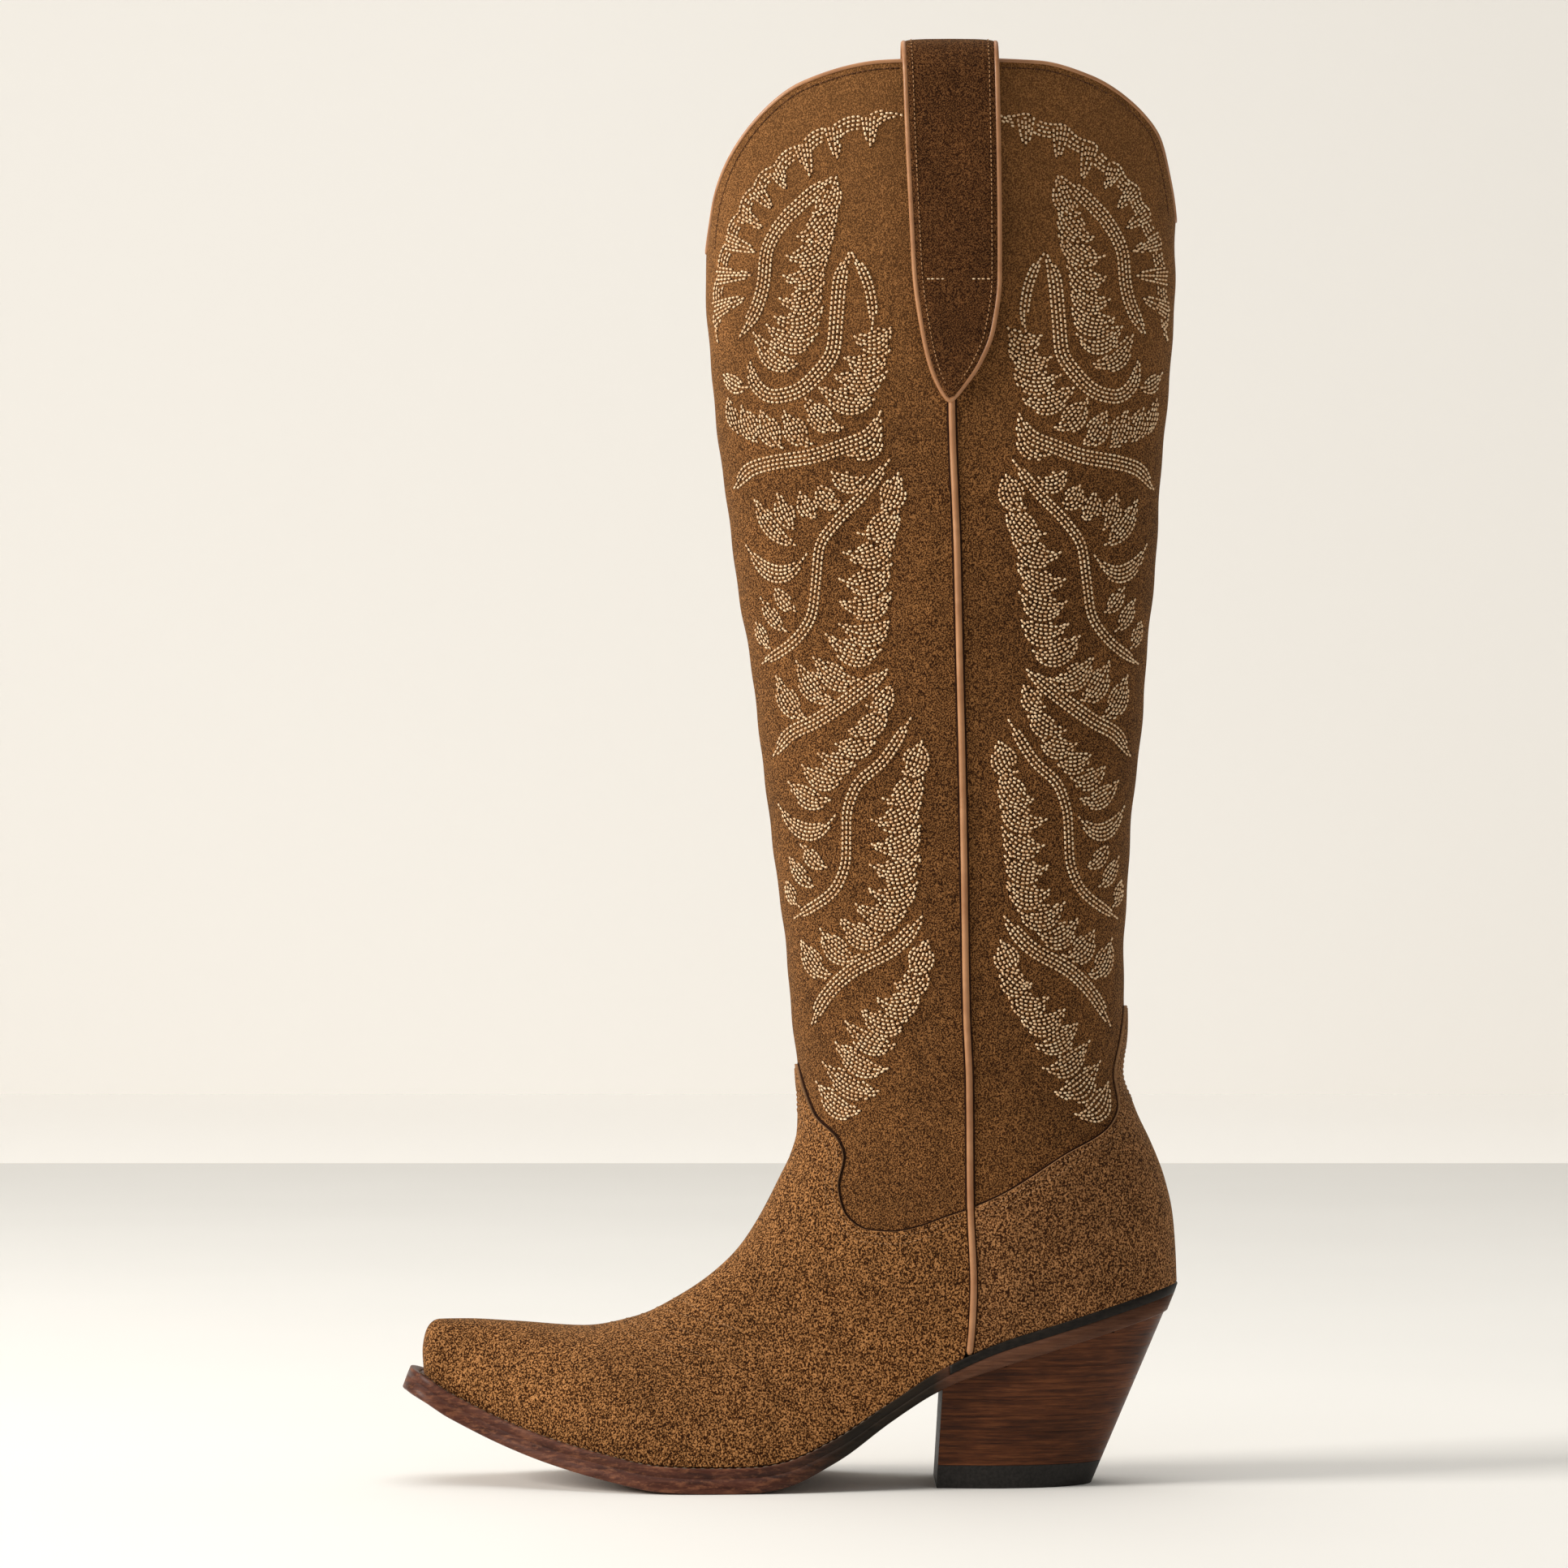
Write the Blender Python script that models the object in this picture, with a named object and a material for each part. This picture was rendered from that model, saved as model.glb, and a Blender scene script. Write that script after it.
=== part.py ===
"""Western boot for a left foot: suede upper, welted leather sole, stacked leather heel.

+X runs from toe to heel, -Y is the outer side of the foot, +Z is up, and the boot stands on z = 0.
Outlines are worked out in millimetres and turned into metres when a mesh is made.
"""

import math

import bmesh
import bpy
import numpy as np

MM = 0.001
GAP = 0.3  # clearance between pieces that touch on the real boot

# Leather layers of the upper, as distances out from the boot's surface.
SHAFT_LEATHER = (0.0, -1.5)
FOOT_LEATHER = (0.8, -0.6)
STIFFENER = (-1.7, -2.4)
LINING = (-3.8, -4.6)
SHAFT_LINING = (-2.7, -3.5)
BINDING = (0.9, -4.2)
BINDING_HEIGHT = 4.0
EDGE_GAP = 1.5  # between curved edges whose facets don't line up
PIPING_RADIUS = 0.95
SEAM_HALF_WIDTH = PIPING_RADIUS + GAP + 0.15

# Sections of the upper, from the top of the shaft, round the instep, to the toe tip:
# front (or upper) end x, z; back (or lower) end x, z; half width outside, inside; middle y.
# Below the ankle the lower end lies under the sole, and the section is cut at the feather line.
SECTIONS = np.array(
    [
        (-29.5, 500, 137.0, 500, 38.0, 38.0, 0.0),
        (-28.3, 433, 134.9, 433, 37.5, 37.5, 0.0),
        (-28.6, 416.6, 135.2, 416.6, 37.3, 37.3, 0.0),
        (-26.0, 377.4, 132.4, 377.4, 36.8, 36.8, 0.0),
        (-21.6, 343.8, 129.6, 343.8, 36.3, 36.3, 0.0),
        (-17.4, 310.2, 127.4, 310.2, 35.8, 35.8, 0.0),
        (-13.4, 287.8, 125.2, 287.8, 35.4, 35.4, 0.0),
        (-9.2, 254.2, 122.4, 254.2, 35.0, 35.0, 0.0),
        (-5.3, 220.6, 119.0, 220.6, 34.6, 34.6, 0.0),
        (-0.6, 187.0, 117.3, 187.0, 34.3, 34.3, 0.0),
        (0.8, 164.6, 117.3, 164.6, 34.0, 34.0, 0.0),
        (3.6, 143.6, 115.6, 143.6, 33.6, 33.6, 0.0),
        (4.5, 133.0, 119.6, 131.0, 33.2, 33.2, 0.0),
        (4.2, 122.6, 125.4, 118.4, 32.8, 32.8, 0.0),
        (2.0, 114.2, 130.2, 105.8, 32.4, 32.4, 0.0),
        (-2.0, 105.8, 133.0, 93.2, 32.2, 32.2, 0.0),
        (-6.2, 97.4, 134.1, 79.2, 32.0, 32.0, 0.0),
        (-10.9, 89.0, 134.6, 66.0, 31.5, 31.5, 0.0),
        (-16.8, 80.6, 135.0, 52.0, 32.0, 31.5, 0.0),
        (-25.5, 72.2, 132.0, 30.0, 29.5, 28.5, 0.0),
        (-37.8, 63.8, 118.0, -12.0, 31.5, 29.5, 0.5),
        (-53.2, 56.5, 80.0, -50.0, 39.0, 37.5, 1.0),
        (-71.7, 53.2, 20.0, -65.0, 43.5, 43.5, 2.0),
        (-94.6, 54.6, -50.0, -55.0, 30.5, 32.5, 3.5),
        (-111.4, 55.4, -90.0, -20.0, 19.0, 21.0, 4.5),
        (-121.8, 55.2, -112.0, 5.0, 13.4, 14.8, 5.0),
        (-125.2, 52.5, -119.0, 20.0, 11.0, 11.8, 5.0),
        (-126.6, 45.4, -122.0, 26.0, 8.2, 8.6, 5.0),
        (-126.2, 37.9, -125.5, 30.0, 0.0, 0.0, 5.0),
    ]
)
TOE_TIP = len(SECTIONS) - 1
WAIST_END, BALL_END = 21, 23  # stations

# Seen from the side: x and z of each line on the upper, the same on both sides of the boot.
RIM = [(-28.6, 429), (-26.6, 444.6), (-16.2, 467), (4.8, 485), (32.5, 491.7), (59, 492.3)]
RIM += [(85.7, 491.7), (104.2, 487.2), (119.8, 478.2), (129.1, 467), (133, 453), (134.9, 440)]
VAMP_TOP = [(3.3, 145.7), (9.4, 128.6), (17.2, 120.4), (19.3, 114.5), (17.4, 104.5)]
VAMP_TOP += [(19.4, 95.5), (27.6, 89.5), (35.8, 89), (45.1, 90.8), (53.5, 93.9), (62.7, 97)]
COUNTER_TOP = [(62.7, 97), (74.2, 102.2), (94.9, 115.1), (111.4, 125), (114.5, 131.7)]
COUNTER_TOP += [(113, 142.1), (114.5, 151.5), (117.2, 166)]
SEAM = [(492, 55.4), (373, 56.2), (326.8, 57.9), (282.2, 59), (230.7, 60.2), (164.6, 61.3)]
SEAM += [(140, 62.3), (98.6, 62.7), (71.4, 63.8), (57.4, 63.4), (40, 61.5)]
SEAM_FOOT_X = 62.2
FEATHER = [(-133, 41.2), (-126.2, 37.9), (-118.2, 33), (-99.5, 24.3), (-80.9, 17.9), (-62.4, 13.3)]
FEATHER += [(-43.8, 10), (-25.2, 9.3), (-11.3, 9.6), (-2, 11), (16.2, 18.8), (34.9, 30.8)]
FEATHER += [(53.5, 42.6), (72, 51), (90.6, 57), (109.2, 62.6), (134.6, 70.3)]
FEATHER += [(136.6, 70.9)]

# Sole, measured down from the feather line.
WELT = (-0.6, -3.4)
SOLE_TOP = -4.0
INSOLE = (0.5, -1.8)
FOOTBED = (4.0, 1.0)
FILLER = (-2.5, -3.4)
SOLE_THICKNESS = [(-135, 5.3), (-5, 5.3), (20, 4.8), (40, 3.6), (55, 3.9), (75, 5.5), (140, 5.5)]
WELT_WIDTH = [(-135, 8.3), (-122, 7.4), (-108, 5.6), (-30, 5.0), (10, 3.6), (40, 2.4), (56, 1.7), (140, 1.5)]

LAYER_STEP = 8.0  # spacing of the points along the sole's layers

# Heel block, as a function of height.
HEEL_BACK = (105.7, 0.427)  # x at the floor, and run for each unit of rise
HEEL_BREAST = (51.2, 0.062)
HEEL_HALF_WIDTH = (24.3, 0.085)
HEEL_MIDDLE_SHARE = 0.3  # share of the length along which the sides run straight
CAP_HEIGHT = 8.0
LIFT_HEIGHT = 5.4
LIFT_COUNT = 9
HEEL_SCREW = (92.0, 2.0)  # x and radius
CAP_NAILS = [(60, -15), (60, 15), (78, -17), (78, 17), (94, -9), (94, 9)]
WAIST_PEGS = [(24, 0.62), (33, 0.62), (42, 0.62)]  # x, and share of the sole's half width

STRAP_HALF_THICKNESS = 1.1
# One pull strap from its outer tip over the collar to its inner end:
# height, distance out from the shaft's surface, and x of its front and back edges.
STRAP = np.array(
    [
        (373.2, 2.3, 55.3, 55.5),
        (379, 2.3, 51.2, 60.6),
        (388, 2.3, 47.6, 66.8),
        (399, 2.3, 45.2, 71.1),
        (417, 2.5, 42.6, 73.4),
        (434, 5.0, 41.6, 73.3),
        (452, 8.0, 40.6, 73.0),
        (472, 9.6, 39.7, 72.6),
        (486, 9.0, 39.2, 72.3),
        (494, 6.3, 38.8, 72.1),
        (497.3, 2.0, 38.6, 72.0),
        (497.3, -3.0, 38.6, 72.0),
        (494, -7.5, 38.6, 72.0),
        (486, -10.4, 38.7, 72.0),
        (470, -11.6, 39.0, 72.0),
        (450, -10.6, 39.5, 72.0),
        (430, -8.6, 40.0, 72.0),
        (412, -6.5, 40.5, 72.0),
        (396, -6.3, 41.0, 72.0),
    ]
)

SUEDE = (0.13, 0.055, 0.022)
PALE_SUEDE = (0.19, 0.085, 0.036)
TAN = (0.40, 0.22, 0.12)
LINING_LEATHER = (0.46, 0.33, 0.20)
SOLE_LEATHER = (0.13, 0.062, 0.035)
STACK_LEATHER = (0.085, 0.030, 0.013)
EDGE_BLACK = (0.012, 0.011, 0.010)
BOARD = (0.36, 0.25, 0.15)
CORK = (0.30, 0.19, 0.10)
STEEL = (0.42, 0.42, 0.43)
BRASS = (0.55, 0.40, 0.16)
WOOD = (0.55, 0.40, 0.22)


def smooth(knots, values, at):
    """A cubic through the values that never bulges past a knot."""
    knots, values = np.asarray(knots, float), np.asarray(values, float)
    at = np.clip(np.asarray(at, float), knots[0], knots[-1])
    step = np.diff(knots)
    rise = np.diff(values) / step
    slope = np.zeros_like(values)
    same = rise[:-1] * rise[1:] > 0
    before, after = rise[:-1][same], rise[1:][same]
    slope[1:-1][same] = 2 * before * after / (before + after)
    slope[0], slope[-1] = rise[0], rise[-1]
    i = np.clip(np.searchsorted(knots, at, side="right") - 1, 0, len(step) - 1)
    s = (at - knots[i]) / step[i]
    start = values[i] * (1 + 2 * s) + slope[i] * step[i] * s
    end = values[i + 1] * (3 - 2 * s) - slope[i + 1] * step[i] * (1 - s)
    return start * (1 - s) ** 2 + end * s**2


def by_x(points, x):
    """z (or another value) of a line given as (x, value) points."""
    return smooth([p[0] for p in points], [p[1] for p in points], x)


def section(t):
    """The columns of SECTIONS at station t, which may lie between two of them."""
    return [smooth(range(len(SECTIONS)), column, t) for column in SECTIONS.T]


def surface(t, angle):
    """Points on the upper: angle 0 is the front ridge, 90 the outer side, 180 the back, 270 the inner side."""
    t, angle = np.broadcast_arrays(np.asarray(t, float), np.asarray(angle, float))
    ax, az, bx, bz, outer, inner, middle = section(t)
    share = (1 - np.cos(np.radians(angle))) / 2
    side = np.sin(np.radians(angle))
    half = np.where(side >= 0, outer, inner)
    return np.stack([ax + (bx - ax) * share, middle - half * side, az + (bz - az) * share], -1)


def offset_surface(t, angle, out):
    """Points a distance out from the upper, along its normal."""
    t, angle = np.broadcast_arrays(np.asarray(t, float), np.asarray(angle, float))
    near = np.clip(t, 0.03, TOE_TIP - 0.15)
    along = surface(near + 0.03, angle) - surface(near - 0.03, angle)
    across = surface(near, angle + 1) - surface(near, angle - 1)
    normal = np.cross(along, across)
    return surface(t, angle) + out * normal / np.linalg.norm(normal, axis=-1, keepdims=True)


def located(points):
    """Station and angle on the outer side of each (x, z) seen from the side."""
    points = np.asarray(points, float)
    low, high = np.zeros(len(points)), np.full(len(points), float(TOE_TIP))
    for _ in range(40):
        t = (low + high) / 2
        ax, az, bx, bz = section(t)[:4]
        beyond = (bx - ax) * (points[:, 1] - az) - (bz - az) * (points[:, 0] - ax) < 0
        low, high = np.where(beyond, t, low), np.where(beyond, high, t)
    ax, az, bx, bz = section(t)[:4]
    reach = (points[:, 0] - ax) * (bx - ax) + (points[:, 1] - az) * (bz - az)
    share = np.clip(reach / ((bx - ax) ** 2 + (bz - az) ** 2), 0, 1)
    return np.stack([t, np.degrees(np.arccos(1 - 2 * share))], -1)


def line(points, count, shift=0.0):
    """count + 1 even points along a smooth line, moved sideways by shift."""
    points = np.asarray(points, float)
    length = np.r_[0, np.cumsum(np.linalg.norm(np.diff(points, axis=0), axis=1))]
    fine = np.linspace(0, length[-1], 400)
    curve = np.stack([smooth(length, points[:, k], fine) for k in (0, 1)], -1)
    way = np.gradient(curve, axis=0)
    way /= np.linalg.norm(way, axis=1, keepdims=True)
    curve += shift * np.stack([-way[:, 1], way[:, 0]], -1)
    length = np.r_[0, np.cumsum(np.linalg.norm(np.diff(curve, axis=0), axis=1))]
    at = np.linspace(0, length[-1], count + 1)
    return np.stack([np.interp(at, length, curve[:, k]) for k in (0, 1)], -1)


def seam_angle(t, shift=0.0):
    """Angle of the side seam at station t, or of a line shift mm behind it."""
    ax, az, bx, bz = section(t)[:4]
    share = np.full_like(ax, 0.5)
    for _ in range(12):
        height = az + (bz - az) * share
        seam_x = smooth([-p[0] for p in SEAM], [p[1] for p in SEAM], -height) + shift
        share = np.clip((seam_x - ax) / (bx - ax), 0.02, 0.98)
    return np.degrees(np.arccos(1 - 2 * share))


def station(x, z):
    return located([(x, z)])[0, 0]


def rim_station(x):
    return station(x, by_x(RIM, x))


def feather_point(t, lift=0.0):
    """x where station t crosses the feather line, or a line that much above it."""
    ax, az, bx, bz = section(t)[:4]
    low, high = 0.0, 1.0
    for _ in range(40):
        share = (low + high) / 2
        if az + (bz - az) * share > by_x(FEATHER, ax + (bx - ax) * share) + lift:
            low = share
        else:
            high = share
    return ax + (bx - ax) * share


def split_line(points, x, front):
    """The stretch of an (x, z) line in front of x, or behind it."""
    end = (x, float(by_x(points, x)))
    if front:
        return [p for p in points if p[0] < x - 1] + [end]
    return [end] + [p for p in points if p[0] > x + 1]


def coons(top, bottom, left, right, rows):
    """Grid of (station, angle) between four edges."""
    v = np.linspace(0, 1, rows + 1)[:, None, None]
    u = np.linspace(0, 1, len(top))[None, :, None]
    left, right = left[:, None, :], right[:, None, :]
    corners = (1 - u) * ((1 - v) * top[0] + v * bottom[0]) + u * ((1 - v) * top[-1] + v * bottom[-1])
    return (1 - v) * top[None] + v * bottom[None] + (1 - u) * left + u * right - corners


def ridge(start, end, angle, rows):
    t = np.linspace(start, end, rows + 1)
    return np.stack([t, np.full(rows + 1, float(angle))], -1)


def seam_edge(start, end, shift, rows):
    t = np.linspace(start, end, rows + 1)
    return np.stack([t, seam_angle(t, shift)], -1)


def front_patch(top, bottom, columns, rows):
    """Grid over the front of the boot, from inner seam to outer seam, between two (x, z) lines."""
    top = located(line(top, columns))
    bottom = located(line(bottom, columns))
    left = ridge(top[0, 0], bottom[0, 0], 0, rows)
    right = seam_edge(top[-1, 0], bottom[-1, 0], -SEAM_HALF_WIDTH, rows)
    top[0, 1] = bottom[0, 1] = 0
    top[-1, 1], bottom[-1, 1] = right[0, 1], right[-1, 1]
    outer = coons(top, bottom, left, right, rows)
    inner = outer[:, :0:-1] * (1, -1)
    return np.concatenate([inner, outer], axis=1)


def limit_angle(t, lift):
    """Angle where station t meets the side seam or the feather line, whichever comes first."""
    feather_x = np.array([feather_point(s, lift) for s in t])
    at_sole = located(np.stack([feather_x, by_x(FEATHER, feather_x) + lift], -1))[:, 1]
    return np.where(t < seam_foot(lift), seam_angle(t, -SEAM_HALF_WIDTH), at_sole)


def seam_foot(lift):
    """Station where the front edge of the side seam meets the feather line."""
    x = SEAM_FOOT_X - SEAM_HALF_WIDTH
    return station(x, by_x(FEATHER, x) + lift)


def vamp_patch(top, end, columns, lift=0.0):
    """Grid over the forefoot from an (x, z) line at its top to station end at the toe."""
    top = located(line(top, columns))
    stops = (top[-1, 0], seam_foot(lift), WAIST_END, BALL_END, end)
    side = [np.linspace(a, b, n + 1)[1:] for a, b, n in zip(stops, stops[1:], (2, 4, 4, 7))]
    side = np.concatenate([[stops[0]]] + side)
    rows = len(side) - 1
    right = np.stack([side, limit_angle(side, lift)], -1)
    top[0, 1], top[-1, 1] = 0, right[0, 1]
    lead = (side[0] - top[0, 0]) * (1 - np.linspace(0, 1, rows + 1)) ** 1.5
    left = np.stack([side - lead, np.zeros(rows + 1)], -1)
    bottom = np.stack([np.full(columns + 1, end), np.linspace(0, right[-1, 1], columns + 1)], -1)
    outer = coons(top, bottom, left, right, rows)
    return np.concatenate([outer[:, :0:-1] * (1, -1), outer], axis=1)


def back_patch(top, bottom, columns, rows):
    """Grid over the back of the boot, from outer seam to inner seam, between two (x, z) lines."""
    top = located(line(top, columns))
    bottom = located(line(bottom, columns))
    left = seam_edge(top[0, 0], bottom[0, 0], SEAM_HALF_WIDTH, rows)
    right = ridge(top[-1, 0], bottom[-1, 0], 180, rows)
    top[-1, 1] = bottom[-1, 1] = 180
    top[0, 1], bottom[0, 1] = left[0, 1], left[-1, 1]
    outer = coons(top, bottom, left, right, rows)
    inner = outer[:, -2::-1] * (1, -1) + (0, 360)
    return np.concatenate([outer, inner], axis=1)


def material(name, colour, roughness, metallic=0.0):
    found = bpy.data.materials.new(name)
    found.use_nodes = True
    shader = found.node_tree.nodes["Principled BSDF"]
    shader.inputs["Base Color"].default_value = (*colour, 1)
    shader.inputs["Roughness"].default_value = roughness
    shader.inputs["Metallic"].default_value = metallic
    return found


def solid(name, points, faces, finish):
    """A mesh object from points in mm. Points that coincide are joined, and faces turned outward."""
    mesh = bpy.data.meshes.new(name)
    mesh.from_pydata([tuple(float(c) * MM for c in p) for p in points], [], faces)
    shape = bmesh.new()
    shape.from_mesh(mesh)
    bmesh.ops.remove_doubles(shape, verts=shape.verts, dist=0.02 * MM)
    bmesh.ops.recalc_face_normals(shape, faces=shape.faces)
    shape.to_mesh(mesh)
    shape.free()
    mesh.materials.append(material(name, *finish))
    mesh.shade_smooth()
    mesh.set_sharp_from_angle(angle=math.radians(40))
    made = bpy.data.objects.new(name, mesh)
    bpy.context.collection.objects.link(made)
    return made


def shell(name, grid, layer, finish):
    """A leather piece between two distances from the upper's surface."""
    rows, columns = grid.shape[:2]
    sides = [offset_surface(grid[..., 0], grid[..., 1], out).reshape(-1, 3) for out in layer]
    points = np.concatenate(sides)
    inside = rows * columns

    def at(i, j):
        return i * columns + j

    faces = []
    for i in range(rows - 1):
        for j in range(columns - 1):
            quad = (at(i, j), at(i + 1, j), at(i + 1, j + 1), at(i, j + 1))
            faces += [quad, tuple(k + inside for k in quad[::-1])]
    border = [at(0, j) for j in range(columns)]
    border += [at(i, columns - 1) for i in range(1, rows)]
    border += [at(rows - 1, j) for j in range(columns - 2, -1, -1)]
    border += [at(i, 0) for i in range(rows - 2, 0, -1)]
    for a, b in zip(border, border[1:] + border[:1]):
        faces.append((a, b, b + inside, a + inside))
    return solid(name, points, faces, finish)


def swept(name, loops, finish):
    """A solid through a row of loops with the same number of points, closed at both ends."""
    sides = len(loops[0])
    points = np.concatenate(loops)
    faces = [tuple(range(sides)), tuple((len(loops) - 1) * sides + k for k in range(sides))]
    for i in range(len(loops) - 1):
        for k in range(sides):
            a, b = i * sides + k, i * sides + (k + 1) % sides
            faces.append((a, b, b + sides, a + sides))
    return solid(name, points, faces, finish)


def tube(name, path, radius, finish, sides=6):
    """A round cord along a path, with flat ends. Its rings keep a steady direction."""
    path = np.asarray(path, float)
    way = np.gradient(path, axis=0)
    way /= np.linalg.norm(way, axis=1, keepdims=True)
    across = np.cross(way[0], (0.3, 1, 0.2))
    loops = []
    for centre, along in zip(path, way):
        across = across - along * (across @ along)
        across /= np.linalg.norm(across)
        other = np.cross(along, across)
        turn = np.linspace(0, 2 * math.pi, sides, endpoint=False)[:, None]
        loops.append(centre + radius * (np.cos(turn) * across + np.sin(turn) * other))
    return swept(name, loops, finish)


def feather_outline():
    """Plan of the upper at the feather line, as a closed loop from the heel's back by the outer side."""
    back = station(134.5, 70.3) + 0.02
    t = np.concatenate([np.linspace(back, 19, 40), np.linspace(19, TOE_TIP, 110)[1:]])
    x = np.array([feather_point(s) for s in t])
    spots = located(np.stack([x, by_x(FEATHER, x)], -1))
    outer = surface(spots[:, 0], spots[:, 1])[:, :2]
    inner = surface(spots[:, 0], -spots[:, 1])[:, :2]
    heel, tip = (outer[0] + inner[0]) / 2, outer[-1]
    return np.concatenate([[heel + (0.4, 0)], outer[:-1], [tip], inner[-2::-1]])


def even_loop(loop, count=600):
    """The same closed loop with evenly spaced points."""
    closed = np.concatenate([loop, loop[:1]])
    length = np.r_[0, np.cumsum(np.linalg.norm(np.diff(closed, axis=0), axis=1))]
    at = np.linspace(0, length[-1], count, endpoint=False)
    return np.stack([np.interp(at, length, closed[:, k]) for k in (0, 1)], -1)


def rounded(loop, times):
    """The loop with its small corners averaged out."""
    for _ in range(times):
        loop = (np.roll(loop, 1, axis=0) + loop * 2 + np.roll(loop, -1, axis=0)) / 4
    return loop


OUTLINE = rounded(even_loop(feather_outline()), 12)


def widened(out):
    """The feather outline moved out by a distance, which may depend on x."""
    way = np.roll(OUTLINE, -1, axis=0) - np.roll(OUTLINE, 1, axis=0)
    way /= np.linalg.norm(way, axis=1, keepdims=True)
    distance = out(OUTLINE[:, 0])[:, None] if callable(out) else out
    return OUTLINE + distance * np.stack([-way[:, 1], way[:, 0]], -1)


def sole_margin(x):
    return by_x(WELT_WIDTH, x)


def side_y(loop, x, outer):
    """y of the loop's outer or inner side at x."""
    heel, toe = loop[:, 0].argmax(), loop[:, 0].argmin()
    loop = np.roll(loop, -heel, axis=0)
    toe = (toe - heel) % len(loop)
    half = loop[: toe + 1] if outer else np.concatenate([loop[toe:], loop[:1]])
    order = np.argsort(half[:, 0])
    return np.interp(x, half[order, 0], half[order, 1])


def stations_between(start, end):
    """Positions from start to end: even ones shared by every sole layer, and closer ones at both ends."""
    even = [x for x in np.arange(-150, 150, LAYER_STEP) if start + 5 < x < end - 5]
    near = [0, 0.4, 1.6, 3.4]
    return [start + d for d in near] + even + [end - d for d in near[::-1]]


def layer(name, out, start, end, top, bottom, finish):
    """A sole layer between two x, inside the widened outline, with its faces at top(x) and bottom(x)."""
    loop = widened(out)
    start, end = max(start, loop[:, 0].min() + 0.01), min(end, loop[:, 0].max() - 0.01)
    loops = []
    for x in stations_between(start, end):
        outer, inner = side_y(loop, x, True), side_y(loop, x, False)
        high, low = float(top(x)), float(bottom(x))
        loops.append(np.array([(x, outer, high), (x, inner, high), (x, inner, low), (x, outer, low)]))
    return swept(name, loops, finish)


def band(name, widths, x_end, heel_end, levels, finish, count):
    """A strip that follows the outline round the toe, or round the heel, as far as x_end on both sides."""
    inner, outer = (widened(w) for w in widths)
    keep = OUTLINE[:, 0] > x_end if heel_end else OUTLINE[:, 0] < x_end
    index = np.flatnonzero(keep)
    if heel_end:
        index = np.concatenate([index[index > len(OUTLINE) // 2], index[index < len(OUTLINE) // 2]])
    index = index[np.linspace(0, len(index) - 1, count + 1).round().astype(int)]
    loops = []
    for k in index:
        (ox, oy), (ix, iy) = outer[k], inner[k]
        oz, iz = feather(ox), feather(ix)
        top, bottom = levels
        ring = [(ox, oy, oz + top), (ix, iy, iz + top), (ix, iy, iz + bottom), (ox, oy, oz + bottom)]
        loops.append(np.array(ring))
    return swept(name, loops, finish)


def feather(x):
    return by_x(FEATHER, x)


def level(above):
    """Height of a face that runs a fixed distance above the feather line."""
    return lambda x: feather(x) + above


def sole_bottom(x):
    return feather(x) + SOLE_TOP - by_x(SOLE_THICKNESS, x)


def make_upper():
    """Leather pieces that are seen from outside."""
    rim_front, rim_back = split_line(RIM, 55.6, True), split_line(RIM, 55.6, False)
    below = BINDING_HEIGHT + EDGE_GAP
    top_front = line(rim_front, 40, -below)
    top_back = line(rim_back, 40, -below)
    suede, pale = (SUEDE, 0.9), (PALE_SUEDE, 0.9)
    panel = front_patch(top_front, line(VAMP_TOP, 60, GAP), 12, 9)
    shell("front_shaft", panel, SHAFT_LEATHER, suede)
    panel = back_patch(top_back, line(COUNTER_TOP, 60, GAP), 11, 9)
    shell("back_shaft", panel, SHAFT_LEATHER, suede)
    vamp = vamp_patch(line(VAMP_TOP, 60, -GAP), TOE_TIP, 12)
    shell("vamp", vamp, FOOT_LEATHER, pale)
    heel_line = split_line(FEATHER, SEAM_FOOT_X + SEAM_HALF_WIDTH, False)
    counter = back_patch(line(COUNTER_TOP, 60, -GAP), heel_line, 11, 7)
    shell("heel_counter", counter, FOOT_LEATHER, suede)


def make_binding():
    """Folded leather over the top edges of shaft and lining, in a front and a back piece."""
    for name, front in (("collar_binding_front", True), ("collar_binding_back", False)):
        rim = split_line(RIM, 55.6 - GAP if front else 55.6 + GAP, front)
        edges = line(rim, 40), line(rim, 40, -BINDING_HEIGHT)
        patch = front_patch(*edges, 12, 1) if front else back_patch(*edges, 11, 1)
        shell(name, patch, BINDING, (TAN, 0.7))


def make_inside():
    """Linings and stiffeners."""
    lining = (LINING_LEATHER, 0.8)
    rim_front, rim_back = split_line(RIM, 55.6, True), split_line(RIM, 55.6, False)
    below = BINDING_HEIGHT + EDGE_GAP
    front_end, back_end = line(VAMP_TOP, 60, 0.5), line(COUNTER_TOP, 60, 0.5)
    shell("shaft_lining_front", front_patch(line(rim_front, 40, -below), front_end, 12, 9), SHAFT_LINING, lining)
    shell("shaft_lining_back", back_patch(line(rim_back, 40, -below), back_end, 11, 9), SHAFT_LINING, lining)
    vamp_lining = vamp_patch(line(VAMP_TOP, 60, -0.5), TOE_TIP - 2.2, 12, lift=1.2)
    shell("vamp_lining", vamp_lining, LINING, lining)
    heel_line = [(x, z + 1.5) for x, z in split_line(FEATHER, SEAM_FOOT_X + SEAM_HALF_WIDTH, False)]
    shell("counter_lining", back_patch(line(COUNTER_TOP, 60, -0.5), heel_line, 11, 7), LINING, lining)
    toe_puff(-82)
    counter_stiffener(112)


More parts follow.
